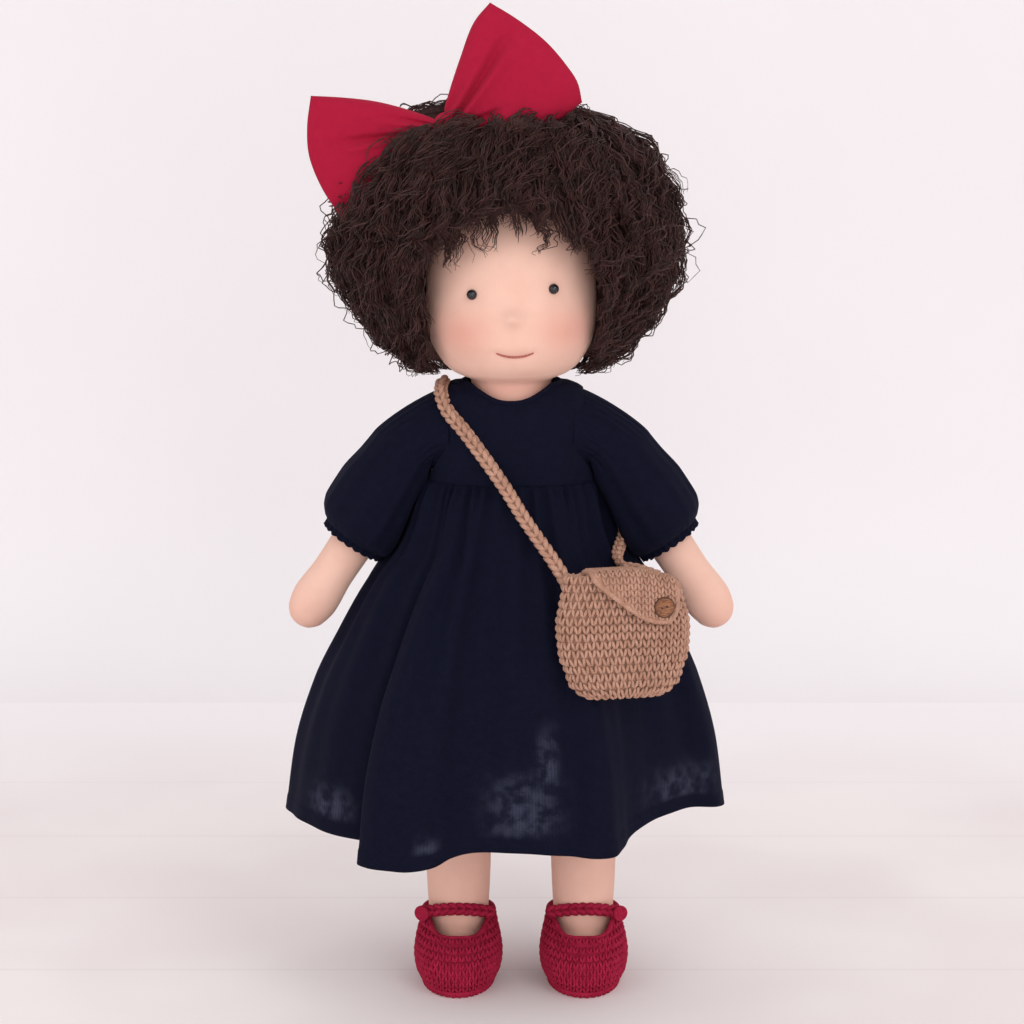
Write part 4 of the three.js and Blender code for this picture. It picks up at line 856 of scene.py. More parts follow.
sleeve = {
    "rows": [
        (-7, 17.0, 8, 15.5), (0, 19.0, 11.7, 18.2), (10.2, 19.6, 13.7, 18.6), (21.6, 20.6, 16, 20.1),
        (36, 22.6, 18.9, 21.8), (48, 22.4, 20.6, 22.2), (53, 21.0, 20.2, 21.3), (56.5, 18.2, 18.2, 18.8),
        (58.6, 15.6, 15.4, 15.6), (60.6, 15.6, 15.4, 15.6),
    ],
    "columns": 204, "gathers": 30, "cloth": 0.8, "seamOverlap": 0.7, "seamOut": 28.0,
    # A stretch along the arm, measured inwards from the joint.
    "follows": (14.0, 9.0),
}


def dressHalves(z):
    # Half width and half depth of the plain dress at each height, without its folds.
    z = np.asarray(z, float)
    fall = np.clip((skirt["top"] - z) / skirt["drop"], 0, 1)
    rise = np.clip((z - bodice["bottom"]) / bodice["height"], 0, 1)
    flare = rowsAt(skirt["rows"], fall.ravel()).reshape(z.shape + (2,))
    yoke = rowsAt(bodice["rows"], rise.ravel()).reshape(z.shape + (2,))
    above = (z > bodice["bottom"])[..., None]
    below = np.stack([
        skirt["halfWidth"] + skirt["flareWidth"] * flare[..., 0],
        skirt["halfDepth"] + skirt["flareDepth"] * flare[..., 1],
    ], -1)
    return np.where(above, yoke * np.array([bodice["halfWidth"], bodice["halfDepth"]]), below)


def cutAtMouth(surface, outside, columns, rowCount, last):
    # Each column of a surface runs up to where it meets the opening; gives the rows of points.
    ends = np.full(columns, last)
    trial = np.linspace(0, last, 400)
    grid = surface(trial)
    free = outside(grid)
    column = np.arange(columns)
    for at in column:
        blocked = np.nonzero(~free[:, at])[0]
        if len(blocked):
            ends[at] = trial[max(blocked[0] - 1, 1)]
    ends = sum(np.roll(ends, shift) for shift in range(-6, 7)) / 13
    rows = []
    for part in np.linspace(0, 1, rowCount):
        exact = part * ends / last * (len(trial) - 1)
        low = np.clip(exact.astype(int), 0, len(trial) - 2)
        mix = (exact - low)[:, None]
        rows.append(grid[low, column] * (1 - mix) + grid[low + 1, column] * mix)
    return np.array(rows)


def makeBodice():
    neck = bodice["neck"]

    def surface(share):
        width, depth = rowsAt(bodice["rows"], share).T
        # The lowest edge reaches a little below the top of the skirt.
        heights = bodice["bottom"] + bodice["height"] * np.minimum(share, 1)
        heights = heights - bodice["tuck"] * (share < 0.004)
        return stackRings(
            heights, bodice["halfWidth"] * width, bodice["halfDepth"] * depth, bodice["power"],
            bodice["columns"], (bodice["centre"], 0),
        )

    def outside(rings):
        x = (rings[..., 0] - bodice["centre"]) / neck["halfWidth"]
        y = (rings[..., 1] - neck["y"]) / neck["halfDepth"]
        return x**2 + y**2 > 1

    rings = cutAtMouth(surface, outside, bodice["columns"], 54, bodice["rows"][-1][0])
    normals = gridNormals(rings)
    normals = normals * np.sign((normals * (rings - [1, 0, 255])).sum(-1, keepdims=True))
    x, z = rings[..., 0], rings[..., 2]
    # Faint drag lines run from the armholes, and the cloth eases in just above the yoke seam.
    beside = abs(x - bodice["centre"]) / bodice["halfWidth"]
    drag = 0.35 * np.sin(z * 0.55 + abs(x) * 0.35) * smoothStep(beside, 0.35, 0.8)
    soft = 0.25 * np.sin(x * 0.21 + 1) * np.sin(z * 0.17)
    ease = 0.35 * np.exp(-(z - bodice["bottom"] + 0.2) ** 2)
    lift = ((drag + soft) * smoothStep(z, 235.5, 239) + ease) * smoothStep(-z, -277, -272)
    rings = rings + normals * lift[..., None]
    made = loft("bodice", rings)
    thickened(made, bodice["cloth"])
    hole = bodice["armhole"]
    cutters = []
    for side in (-1, 1):
        path = np.array([[side * x, 0, hole["z"]] for x in (24.0, 60.0)])
        cutters.append(tube("armhole", path, hole["radius"], 72))
    cutBy(made, cutters)
    pointValues(made, "thin_backlight", 0)
    finishPiece(made, navyLinen, "root", ["dress_bodice"])

    binding = splineThrough(rings[-1][::4], 200, closed=True)
    binding = tube("neck_binding", binding, bodice["binding"], 12, closed=True)
    finishPiece(binding, navyLinen, "root", ["dress_neck_binding"])


def hemLine():
    # The whole hem as a closed line of even steps, with the yoke angle that each step hangs from.
    values = skirt["backHem"]
    back = []
    for angle in np.linspace(0, 180, 40)[2:-2]:
        turn = math.radians(angle)
        wave = 1 + values["foldDepth"] * math.cos(values["folds"] * 2 * turn) * math.sin(turn) ** 0.5
        x, y = roundedTurn(turn, 2.15)
        back.append((
            values["centre"][0] + values["half"][0] * x * wave,
            values["centre"][1] + values["half"][1] * y * (wave - 0.02),
            values["z"] + values["sway"] * math.sin(5 * turn),
        ))
    line = splineThrough(skirt["frontHem"] + back, skirt["columns"], closed=True)
    polar = np.unwrap(np.arctan2(line[:, 1] / 0.74, line[:, 0]))
    even = polar[0] + np.arange(len(line)) / len(line) * fullTurn
    lag = 0.75 * polar + 0.25 * (even + (polar - even).mean()) - even
    # The lag of the cloth behind even steps is smoothed round the hem.
    width = 13
    kernel = np.exp(-(np.arange(-3 * width, 3 * width + 1) / width) ** 2)
    padded = np.concatenate([lag[-3 * width:], lag, lag[:3 * width]])
    return line, even + np.convolve(padded, kernel / kernel.sum(), "valid")


def makeSkirt():
    hem, yokeAngle = hemLine()
    columns = skirt["columns"]
    fall = np.linspace(0, 1, skirt["rowCount"]) ** 1.15
    fall = np.unique(np.concatenate([fall, 1 - np.array([0.0, 0.012, 0.03, 0.036, 0.042])]))
    widen, deepen = rowsAt(skirt["rows"], fall).T
    x, y = roundedTurn(yokeAngle, bodice["power"])
    yokeX, yokeY = bodice["centre"] + skirt["halfWidth"] * x, skirt["halfDepth"] * y
    rings = np.stack([
        yokeX + (hem[:, 0] - yokeX) * widen[:, None],
        yokeY + (hem[:, 1] - yokeY) * deepen[:, None],
        skirt["top"] + (hem[:, 2] - skirt["top"]) * fall[:, None],
    ], -1)
    normals = gridNormals(rings)
    normals = normals * np.sign((normals[..., :2] * rings[..., :2]).sum(-1).mean())
    # Fine gathers under the seam fade into wider soft folds, which die out towards the hem.
    pick = np.random.default_rng(11)
    count = round(math.pi * (skirt["halfWidth"] + skirt["halfDepth"]) / skirt["gatherPitch"])
    share = np.arange(columns) / columns
    wander = 0.35 * np.sin(fullTurn * 5 * share + 1) + 0.3 * np.sin(fullTurn * 13 * share + 2)
    down = skirt["top"] - rings[..., 2]
    gather = np.cos(fullTurn * count * share + 2.2 * wander) * (0.75 + 0.25 * np.sin(fullTurn * 17 * share))
    lift = skirt["gatherDepth"] * gather * np.exp(-down / skirt["gatherFade"]) * smoothStep(down, 0, 1.6)
    folds = np.zeros(columns)
    for waves in (9, 14, 19, 23, 31):
        depth = pick.uniform(0.5, 1) / math.sqrt(waves / 9)
        folds += depth * np.cos(fullTurn * waves * share + pick.uniform(0, fullTurn))
    reach = np.interp(down[:, 0], [0, 10, 30, 70, 110, 150], [0, 0.45, 0.9, 0.8, 0.45, 0.25])
    lift = lift + skirt["foldDepth"] * folds * reach[:, None]
    valley = skirt["valley"]
    inValley = np.exp(-((rings[..., 0] - valley["x"]) / valley["wide"]) ** 2) * (rings[..., 1] < 0)
    lift = lift - valley["depth"] * inValley * smoothStep(down, 70, 120)
    # The turned-up hem is a little thicker and ends in a rolled edge.
    lift = lift + 0.3 * smoothStep(fall, 0.955, 0.965)[:, None]
    rings = rings + normals * lift[..., None]
    made = loft("skirt", rings)
    x, y, z = rings.reshape(-1, 3).T
    # Painted light from behind, shown where the cloth is thin, in patches on the front above the hem.
    thin_backlight = np.zeros(len(x))
    for middleX, middleZ, wide, tall in skirt["backlitPatches"]:
        away = abs((x - middleX) / wide) ** 3 + abs((z - middleZ) / tall) ** 3
        thin_backlight = np.maximum(thin_backlight, np.exp(-away))
    thin_backlight *= (y < 0) * smoothStep(np.repeat(1 - fall, columns), 0.035, 0.05)
    pointValues(made, "thin_backlight", thin_backlight)
    thickened(made, skirt["cloth"])
    finishPiece(made, navyLinen, "root", ["dress_skirt"])
    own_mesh(made)


def makeSleeve(sideName):
    side, along, across, pivot = armAxes(sideName)
    reach = steps((-7, 52, 46), (52, 60.6, 20))
    outer, inner, deep = rowsAt(sleeve["rows"], reach).T
    turn = turnOf(sleeve["columns"])
    half = np.where(np.cos(turn) > 0, outer[:, None], inner[:, None])
    rings = (
        pivot + along * reach[:, None, None]
        + across * (half * np.cos(turn))[..., None]
        + np.array([0, 1, 0]) * (deep[:, None] * np.sin(turn))[..., None]
    )
    # Gathers at the elastic and at the seam, and soft puckers between them.
    wander = 0.5 * np.sin(turn * 3 + side) + 0.4 * np.sin(turn * 7)
    fine = np.cos(turn * sleeve["gathers"] + wander)
    broad = np.cos(turn * 9 + 2 * wander + side) + 0.6 * np.cos(turn * 14 - wander)
    hemPart = np.exp(-((reach - 59.5) / 4.2) ** 2)[:, None]
    topPart = np.exp(-((reach - 2) / 9.0) ** 2)[:, None]
    bellyPart = np.interp(reach, [0, 20, 45, 58], [0.2, 0.5, 0.75, 0.2])[:, None]
    lift = 0.32 * fine * hemPart + 0.45 * fine * topPart + 0.6 * broad * bellyPart
    rings = rings + unit(rings - rings.mean(1, keepdims=True)) * lift[..., None]
    scallops = 0.9 * abs(np.cos(turn * 11)) * smoothStep(reach, 57.5, 60.6)[:, None]
    rings = rings + along * scallops[..., None]
    # The top of the sleeve is a ring round the joint's own axis just inside the armhole, so it keeps
    # its place as the arm swings. Below it the sleeve lies beside the dress.
    seamRadius = bodice["armhole"]["radius"] + sleeve["seamOverlap"]
    seam = np.stack([
        np.full(len(turn), bodice["centre"] + side * sleeve["seamOut"]),
        seamRadius * np.sin(turn),
        bodice["armhole"]["z"] + seamRadius * np.cos(turn),
    ], -1)
    join = smoothStep(reach, -7, 13)[:, None, None]
    rings = seam * (1 - join) + rings * join
    z = rings[..., 2]
    halves = dressHalves(z)
    share = np.clip(abs(rings[..., 1]) / halves[..., 1], 0, 0.999)
    dressSide = halves[..., 0] * (1 - share**bodice["power"]) ** (1 / bodice["power"])
    gap = 1.0 + 1.5 * smoothStep(-z, -234, -222)
    least = sleeve["seamOut"] + (dressSide + gap - sleeve["seamOut"]) * smoothStep(reach, -7, 4)[:, None]
    beyond = side * (rings[..., 0] - bodice["centre"])
    rings[..., 0] = bodice["centre"] + side * np.maximum(beyond, least)
    made = loft(sideName + "_puff_sleeve", rings)
    thickened(made, sleeve["cloth"])
    pointValues(made, "thin_backlight", 0)
    finishPiece(made, navyLinen, None, [sideName + "_sleeve"])
    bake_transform(made)


makeBodice()
makeSkirt()
makeSleeve("right")
makeSleeve("left")
print("dress is made")


# The bow in the hair

bow = {
    "middle": -13.0,
    "right": {
        "top": [(-25.5, 392.5), (-37, 397.0), (-48.1, 400.5), (-59.4, 403.1), (-73, 404.6), (-86.5, 405.3)],
        "bottom": [(-26, 387), (-40, 376), (-57, 362.5), (-73.2, 351.5)],
        "end": [(-86.5, 405.3), (-88.3, 392), (-87.6, 379.3), (-82, 365), (-73.2, 351.5)],
        "puff": 7.0,
        "creases": [
            ((0.1, 0.45), (0.8, 0.40), 0.045, 2.0), ((0.05, 0.72), (0.42, 0.63), 0.05, 1.9),
            ((0.05, 0.2), (0.5, 0.16), 0.05, 1.4), ((0.2, 0.9), (0.6, 0.86), 0.04, 0.8),
        ],
    },
    "left": {
        "top": [(-25.8, 392.0), (-28.2, 399), (-26.6, 405.5), (-21.5, 421), (-15.2, 437), (-8.2, 445.4)],
        "bottom": [(-20, 388.6), (-8, 387.2), (4, 388.6), (21.5, 394.6), (32.0, 402.5)],
        "end": [(-8.2, 445.4), (4, 438), (16.2, 428.6), (25.5, 418), (30.0, 411), (32.0, 402.5)],
        "puff": 7.4,
        "creases": [
            ((0.06, 0.55), (0.42, 0.66), 0.05, 2.3), ((0.08, 0.3), (0.88, 0.26), 0.045, 2.0),
            ((0.05, 0.8), (0.35, 0.84), 0.05, 1.4), ((0.1, 0.12), (0.5, 0.1), 0.05, 1.0),
        ],
    },
    "knot": {"place": (-25.0, -13.0, 391.1), "half": (8.0, 6.5, 7.4)},
    # The hair keeps out of the bow: out of this depth before and behind its middle, between these two
    # ends, and above this line along its underside.
    "clear": (-9.2, 8.6), "reach": (-91, 36),
    "underside": [
        (-90, 352), (-73, 349), (-57, 360), (-40, 373), (-26, 383), (-8, 384), (4, 385), (21.5, 391),
        (34, 399),
    ],
}


def makeLoop(sideName):
    values = bow[sideName]
    lengthCount, acrossCount = 110, 80
    u = np.linspace(0, 1, lengthCount)[:, None, None]
    v = np.linspace(0, 1, acrossCount)[None, :, None]
    top, bottom = flatLine(values["top"], lengthCount), flatLine(values["bottom"], lengthCount)
    end = flatLine(values["end"], acrossCount)
    start = bottom[0] + (top[0] - bottom[0]) * (1 - np.linspace(0, 1, acrossCount))[:, None]
    plane = (
        (1 - v) * top[:, None] + v * bottom[:, None] + (1 - u) * start[None] + u * end[None]
        - (1 - u) * (1 - v) * top[0] - u * (1 - v) * top[-1] - (1 - u) * v * bottom[0] - u * v * bottom[-1]
    )
    u, v = u[..., 0], v[..., 0]
    edgeRound = (1 - abs(2 * v - 1) ** 5) ** 0.5
    endRound = np.sqrt(np.clip(1 - np.clip((u - 0.86) / 0.14, 0, 1) ** 2, 0, 1))
    body = 0.45 + 0.55 * np.sin(math.pi * np.clip(u * 0.9 + 0.12, 0, 1)) ** 0.7
    thick = 0.7 + (values["puff"] - 0.7) * edgeRound * body * (0.25 + 0.75 * endRound)
    # Creases run out from the knot, deep there and fading towards the end.
    fan = np.cos(fullTurn * 4.5 * v + 0.8) * np.exp(-u / 0.28)
    wave = 1.3 * np.sin(6.5 * v + 3 * u) * u * (1.2 - u)
    dent = np.zeros_like(u * v)
    for (u0, v0), (u1, v1), width, depth in values["creases"]:
        part = np.clip((u - u0) / (u1 - u0), 0, 1)
        beside = v - (v0 + (v1 - v0) * part)
        fade = smoothStep(u, u0 - 0.15, u0 + 0.1) * (1 - smoothStep(u, u1 - 0.25, u1 + 0.12))
        ridge = np.exp(-((beside - width * 1.6) / (width * 1.3)) ** 2)
        dent = dent + 1.75 * depth * fade * (np.exp(-(beside / width) ** 2) - 0.45 * ridge)
    front = bow["middle"] - thick + (dent - fan - wave) * edgeRound
    back = bow["middle"] + thick * 0.92 - (0.6 * dent + fan) * edgeRound
    frontSheet = np.stack([plane[..., 0], np.minimum(front, bow["middle"] - 0.5), plane[..., 1]], -1)
    backSheet = np.stack([plane[..., 0], np.maximum(back, bow["middle"] + 0.5), plane[..., 1]], -1)
    rings = np.concatenate([frontSheet, backSheet[:, ::-1]], 1)
    made = loft("bow_" + sideName + "_cloth", rings, capped=True)
    finishPiece(made, bowCotton, "head", ["bow_" + sideName + "_loop"])


def makeKnot():
    place, half = bow["knot"]["place"], bow["knot"]["half"]
    tilt = np.linspace(0.05, math.pi - 0.05, 40)[:, None]
    turn = turnOf(72)
    c, s = roundedTurn(turn, 2.5)
    pinch = 1 - 0.07 * np.cos(turn * 9) * np.sin(tilt)
    swell = np.sin(tilt) ** 0.6
    rings = np.stack([
        np.repeat(place[0] - half[0] * np.cos(tilt), len(turn), 1),
        place[1] + half[1] * swell * c * pinch,
        place[2] + half[2] * swell * s * pinch,
    ], -1)
    made = loft("bow_knot_cloth", rings, capped=True)
    finishPiece(made, bowCotton, "head", ["bow_knot"])


makeLoop("right")
makeLoop("left")
makeKnot()
print("bow is made")


# Geometry Nodes for hair strands and for crochet stitches

def geometryTree(name, inputs):
    # A tree that takes geometry and these inputs; gives the tree and what comes in.
    tree = bpy.data.node_groups.new(name, "GeometryNodeTree")
    for socketName, kind in {"Geometry": "Geometry", **inputs}.items():
        tree.interface.new_socket(socketName, in_out="INPUT", socket_type="NodeSocket" + kind)
    tree.interface.new_socket("Geometry", in_out="OUTPUT", socket_type="NodeSocketGeometry")
    return tree, tree.nodes.new("NodeGroupInput").outputs


def endTree(tree, geometry, material):
    real = addNode(tree, "GeometryNodeRealizeInstances", {"Geometry": geometry})
    painted = addNode(tree, "GeometryNodeSetMaterial", {"Geometry": real.outputs[0], "Material": material})
    addNode(tree, "NodeGroupOutput", {0: painted.outputs[0]})
    return tree


def namedValue(tree, name, kind):
    return addNode(tree, "GeometryNodeInputNamedAttribute", {"Name": name}, data_type=kind).outputs[0]


def strandTree():
    tree, given = geometryTree("Hair Strands", {"Strand Radius": "Float", "Hair Material": "Material"})
    curves = addNode(tree, "GeometryNodeMeshToCurve", {"Mesh": given["Geometry"]})
    inputs = {"Resolution": 3, "Radius": given["Strand Radius"]}
    profile = addNode(tree, "GeometryNodeCurvePrimitiveCircle", inputs, mode="RADIUS")
    solid = addNode(tree, "GeometryNodeCurveToMesh", {
        "Curve": curves.outputs[0], "Profile Curve": profile.outputs[0],
        "Scale": namedValue(tree, "taper", "FLOAT"), "Fill Caps": True,
    })
    return endTree(tree, solid.outputs[0], given["Hair Material"])


def stitchTree():
    inputs = {"Stitch": "Object", "Stitch Size": "Float", "Yarn Material": "Material"}
    tree, given = geometryTree("Crochet Stitches", inputs)
    shape = addNode(tree, "GeometryNodeObjectInfo", {"Object": given["Stitch"]})
    inputs = {0: namedValue(tree, "stretch", "FLOAT_VECTOR"), "Scale": given["Stitch Size"]}
    size = addNode(tree, "ShaderNodeVectorMath", inputs, operation="SCALE")
    copies = addNode(tree, "GeometryNodeInstanceOnPoints", {
        "Points": given["Geometry"], "Instance": shape.outputs["Geometry"],
        "Rotation": namedValue(tree, "turn", "FLOAT_VECTOR"), "Scale": size.outputs[0],
    })
    return endTree(tree, copies.outputs[0], given["Yarn Material"])


def socketNamed(tree, name):
    for item in tree.interface.items_tree:
        if item.name == name and item.in_out == "INPUT":
            return item.identifier
    raise KeyError(name)


def grown(made, tree, values):
    # Gives the object what the tree makes of it, as a plain mesh.
    step = made.modifiers.new(tree.name, "NODES")
    step.node_group = tree
    for name, value in values.items():
        step[socketNamed(tree, name)] = value
    return applied(made)


hairStrands = strandTree()
crochetStitches = stitchTree()


# The hair

hair = {
    "seed": 7, "locks": 580, "fringeLocks": 70, "strandsPerLock": 12, "points": 27, "radius": 0.00030,
    "bottom": 282.2, "height": 119.9, "centre": (-1.0, 1.0), "halfWidth": 80.5, "front": 50.0, "back": 57.0,
    "rows": [
        (0, 0.46, 0.4, 0.56), (0.05, 0.6, 0.5, 0.7), (0.13, 0.73, 0.62, 0.82), (0.24, 0.86, 0.76, 0.92),
        (0.36, 0.95, 0.9, 1), (0.48, 0.985, 0.96, 1), (0.64, 0.94, 1, 0.96), (0.76, 0.87, 0.9, 0.86),
        (0.86, 0.76, 0.68, 0.72), (0.935, 0.6, 0.4, 0.55), (0.98, 0.4, 0.2, 0.37), (1, 0.06, 0.03, 0.05),
    ],
    "face": {"half": 38.2, "middle": 1.0, "top": 353.0, "spring": 318.0},
    "fringeAngle": (-2.45, -0.7), "fringeDown": (4, 62), "startsAbove": (4, 26), "shortest": 16,
    "leastCut": 0.22,
    # How many points past the edge of the face a lock may hang, and how often.
    "overFace": ([-1.5, 0.0, 0.5, 3.5, 6.0], [0.25, 0.3, 0.2, 0.15, 0.1]),
    "lockLength": (26.0, 54.0), "crimpPitch": (4.3, 6.2), "crimpDepth": (0.45, 0.95),
    "curlPitch": (13.0, 24.0), "curlDepth": (1.0, 2.8),
    # The strands and the cap's dense hair keep outside two eggs round the head.
    "headMiddle": (1, 0, 322.0), "strandEgg": (39.6, 41.2, 45.5), "capEgg": (38.9, 40.6, 44.6),
    "middle": (0, 4, 325.0), "lowest": 281.5, "mostPerPiece": 1100,
    # Where the crown, the fringe and the back of the wig meet its two sides and each other.
    "regions": {"middle": 1, "half": 39, "crownBottom": 351.5, "fringeBottom": 344, "fringeBack": -12},
}


def wigPoint(share, angle, reach):
    width, front, back = np.moveaxis(rowsAt(hair["rows"], share.ravel()).reshape(share.shape + (3,)), -1, 0)
    c, s = np.cos(angle), np.sin(angle)
    deep = np.where(s < 0, hair["front"] * front, hair["back"] * back)
    return np.stack([
        hair["centre"][0] + hair["halfWidth"] * width * c * reach,
        hair["centre"][1] + deep * s * reach,
        hair["bottom"] + hair["height"] * share,
    ], -1)


def inFace(places):
    # Whether a point stands in front of the face, where no hair hangs.
    face = hair["face"]
    across = np.clip(abs(places[..., 0] - face["middle"]) / face["half"], 0, 1)
    arch = face["spring"] + (face["top"] - face["spring"]) * np.sqrt(1 - across**2)
    return (across < 1) & (places[..., 1] < -4) & (places[..., 2] < arch)


def keptOffBow(places):
    # Strands that would run through the bow pass in front of it or behind it.
    low, high = [bow["middle"] + away for away in bow["clear"]]
    x, y, z = np.moveaxis(places, -1, 0)
    under = np.interp(x, *np.array(bow["underside"]).T)
    inside = (x > bow["reach"][0]) & (x < bow["reach"][1]) & (z > under) & (y > low) & (y < high)
    middle = (low + high) / 2 - 3
    places[..., 1] = np.where(inside, np.where(y < middle, low, high), y)
    return places


def makeStrands():
    pick = np.random.default_rng(hair["seed"])
    # Distance down the wig from its top, against the share of its height.
    share = np.linspace(1, 0, 300)
    width = rowsAt(hair["rows"], share)[:, 0]
    line = np.stack([hair["halfWidth"] * 0.8 * width, hair["height"] * share], -1)
    downTable = lengthAlong(line)
    total = downTable[-1]
    area = np.cumsum(width)
    area = area / area[-1]
    locks = hair["locks"] + hair["fringeLocks"]
    each, count = hair["strandsPerLock"], hair["points"]
    order = np.minimum((np.arange(locks) + pick.uniform(0, 1, locks)) / hair["locks"], 1)
    startDown = np.interp(order, area, downTable) - pick.uniform(*hair["startsAbove"], locks)
    angle = (np.arange(locks) * 2.39996 + pick.uniform(-0.12, 0.12, locks)) % fullTurn
    length = pick.uniform(*hair["lockLength"], locks)
    # Extra locks lie over the forehead, where the hair parts least.
    extra = np.arange(locks) >= locks - hair["fringeLocks"]
    angle = np.where(extra, pick.uniform(*hair["fringeAngle"], locks), angle)
    startDown = np.where(extra, pick.uniform(*hair["fringeDown"], locks), startDown)
    length = np.maximum(np.minimum(length, total + 3 - startDown), hair["shortest"])
    flare = pick.normal(0, 1, locks)

    # From here each value is a column with a row for every strand.
    def repeat(values):
        return np.repeat(values, each)[:, None]

    strands = locks * each
    t = np.linspace(0, 1, count)
    own = pick.uniform(0, 1, (6, strands, 1))
    startDown, angle, length = repeat(startDown), repeat(angle), repeat(length) * (0.8 + 0.35 * own[0])
    flare = np.clip(repeat(flare), -2.2, 1.8)
    lean = repeat(pick.normal(0, 0.12, locks))
    reachDown, howOften = hair["overFace"]
    reachDown = repeat(pick.choice(reachDown, locks, p=howOften))
    stray = own[1] > 0.9
    offsetTurn = own[2] * fullTurn
    offsetSize = 0.7 + 2.6 * np.sqrt(own[3])
    reachEnd = 0.95 + 0.04 * flare + 0.04 * (own[4] - 0.5) + 0.06 * stray * own[5]
    depthStart = 0.80 + 0.1 * own[5]

    def path(cut):
        # Points of every strand, each only as long as its share of the whole.
        along = t * cut
        shareAt = np.interp(np.clip(startDown + length * along, 0, total), downTable, share)
        reach = depthStart + (reachEnd - depthStart) * smoothStep(along, 0, 0.42)
        swing = (0.05 * np.sin(along * 3 + offsetTurn) + lean * along) * along
        return wigPoint(shareAt, angle + swing, reach), along

    # A strand that comes down before the face is cut off there.
    inside = inFace(path(np.ones((strands, 1)))[0])
    first = np.where(inside.any(1), inside.argmax(1), count)[:, None]
    cut = np.clip((first + reachDown + pick.uniform(-0.8, 1.2, (strands, 1))) / count, 0.0, 1.0)
    keep = (cut[:, 0] > hair["leastCut"]) & ~inside[:, 0]
    places, along = path(cut)
    ahead = unit(np.gradient(places, axis=1))
    outward = places - np.array(hair["middle"])
    outward = unit(outward - ahead * (outward * ahead).sum(2, keepdims=True))
    sideways = np.cross(ahead, outward)
    distance = along * length
    lockPhase = repeat(pick.uniform(0, fullTurn, locks)) + own[4] * 2.4
    crimpPitch, crimpDepth, curlPitch, curlDepth = [
        repeat(pick.uniform(*hair[key], locks))
        for key in ("crimpPitch", "crimpDepth", "curlPitch", "curlDepth")
    ]
    grow = smoothStep(along, 0.1, 0.5)
    crimp = distance / crimpPitch * fullTurn + lockPhase
    curl = distance / curlPitch * fullTurn + lockPhase * 0.6
    spread = offsetSize * (1 - 0.45 * along)
    wild = 1 + 1.6 * stray
    sideWave = crimpDepth * np.sin(crimp) + curlDepth * np.sin(curl)
    outWave = 0.55 * crimpDepth * np.cos(crimp * 1.03) + 0.7 * curlDepth * np.cos(curl)
    sideMove = spread * np.cos(offsetTurn) + sideWave * grow * wild
    outMove = spread * 0.6 * np.sin(offsetTurn) + outWave * grow * wild
    places = places + sideways * sideMove[..., None] + outward * outMove[..., None]
    places = keptOffBow(places)
    # No strand goes into the head.
    headMiddle, egg = np.array(hair["headMiddle"]), np.array(hair["strandEgg"])
    fromHead = (places - headMiddle) / egg
    size = np.linalg.norm(fromHead, axis=2, keepdims=True)
    pushed = headMiddle + fromHead / np.maximum(size, 1e-6) * egg
    places = np.where(size < 1, pushed, places)
    places[..., 2] = np.maximum(places[..., 2], hair["lowest"])
    return places[keep], along[keep], cut[keep]


def regionOf(places):
    # Which part of the wig each strand belongs to, from its middle point.
    x, y, z = places[:, places.shape[1] // 2].T
    limits = hair["regions"]
    central = abs(x - limits["middle"]) < limits["half"]
    high, forward = z >= limits["crownBottom"], y < limits["fringeBack"]
    region = np.where(x < 0, "right", "left")
    region = np.where(central & ~high & (y > 0), "back", region)
    region = np.where(central & high & ~forward, "crown", region)
    return np.where(central & (z >= limits["fringeBottom"]) & forward, "fringe", region)


def makeHair():
    places, along, cut = makeStrands()
    region = regionOf(places)
    taper = np.interp(along / np.maximum(cut, 1e-6), [0, 0.15, 0.8, 1], [0.7, 1.0, 0.85, 0.3])
    count = places.shape[1]
    for name in ("crown", "fringe", "back", "right", "left"):
        chosen = np.nonzero(region == name)[0]
        # The curls of one region follow from front to back, in pieces of a limited number of strands.
        chosen = chosen[np.argsort(places[chosen, count // 2, 1])]
        pieces = math.ceil(len(chosen) / hair["mostPerPiece"])
        for part, rows in enumerate(np.array_split(chosen, pieces)):
            points = places[rows].reshape(-1, 3) * mm
            first = (np.arange(len(rows)) * count)[:, None] + np.arange(count - 1)[None]
            edges = np.stack([first.ravel(), first.ravel() + 1], -1)
            pieceName = "curls_" + name + "_" + str(part + 1)
            mesh = bpy.data.meshes.new(pieceName)
            mesh.from_pydata(points.tolist(), edges.tolist(), [])
            made = objectOf(pieceName, mesh)
            pointValues(made, "taper", taper[rows].ravel())
            grown(made, hairStrands, {"Strand Radius": hair["radius"], "Hair Material": mohair})
            finishPiece(made, mohair, "head", ["hair_" + name])
        print("curls", name, len(chosen), "strands")


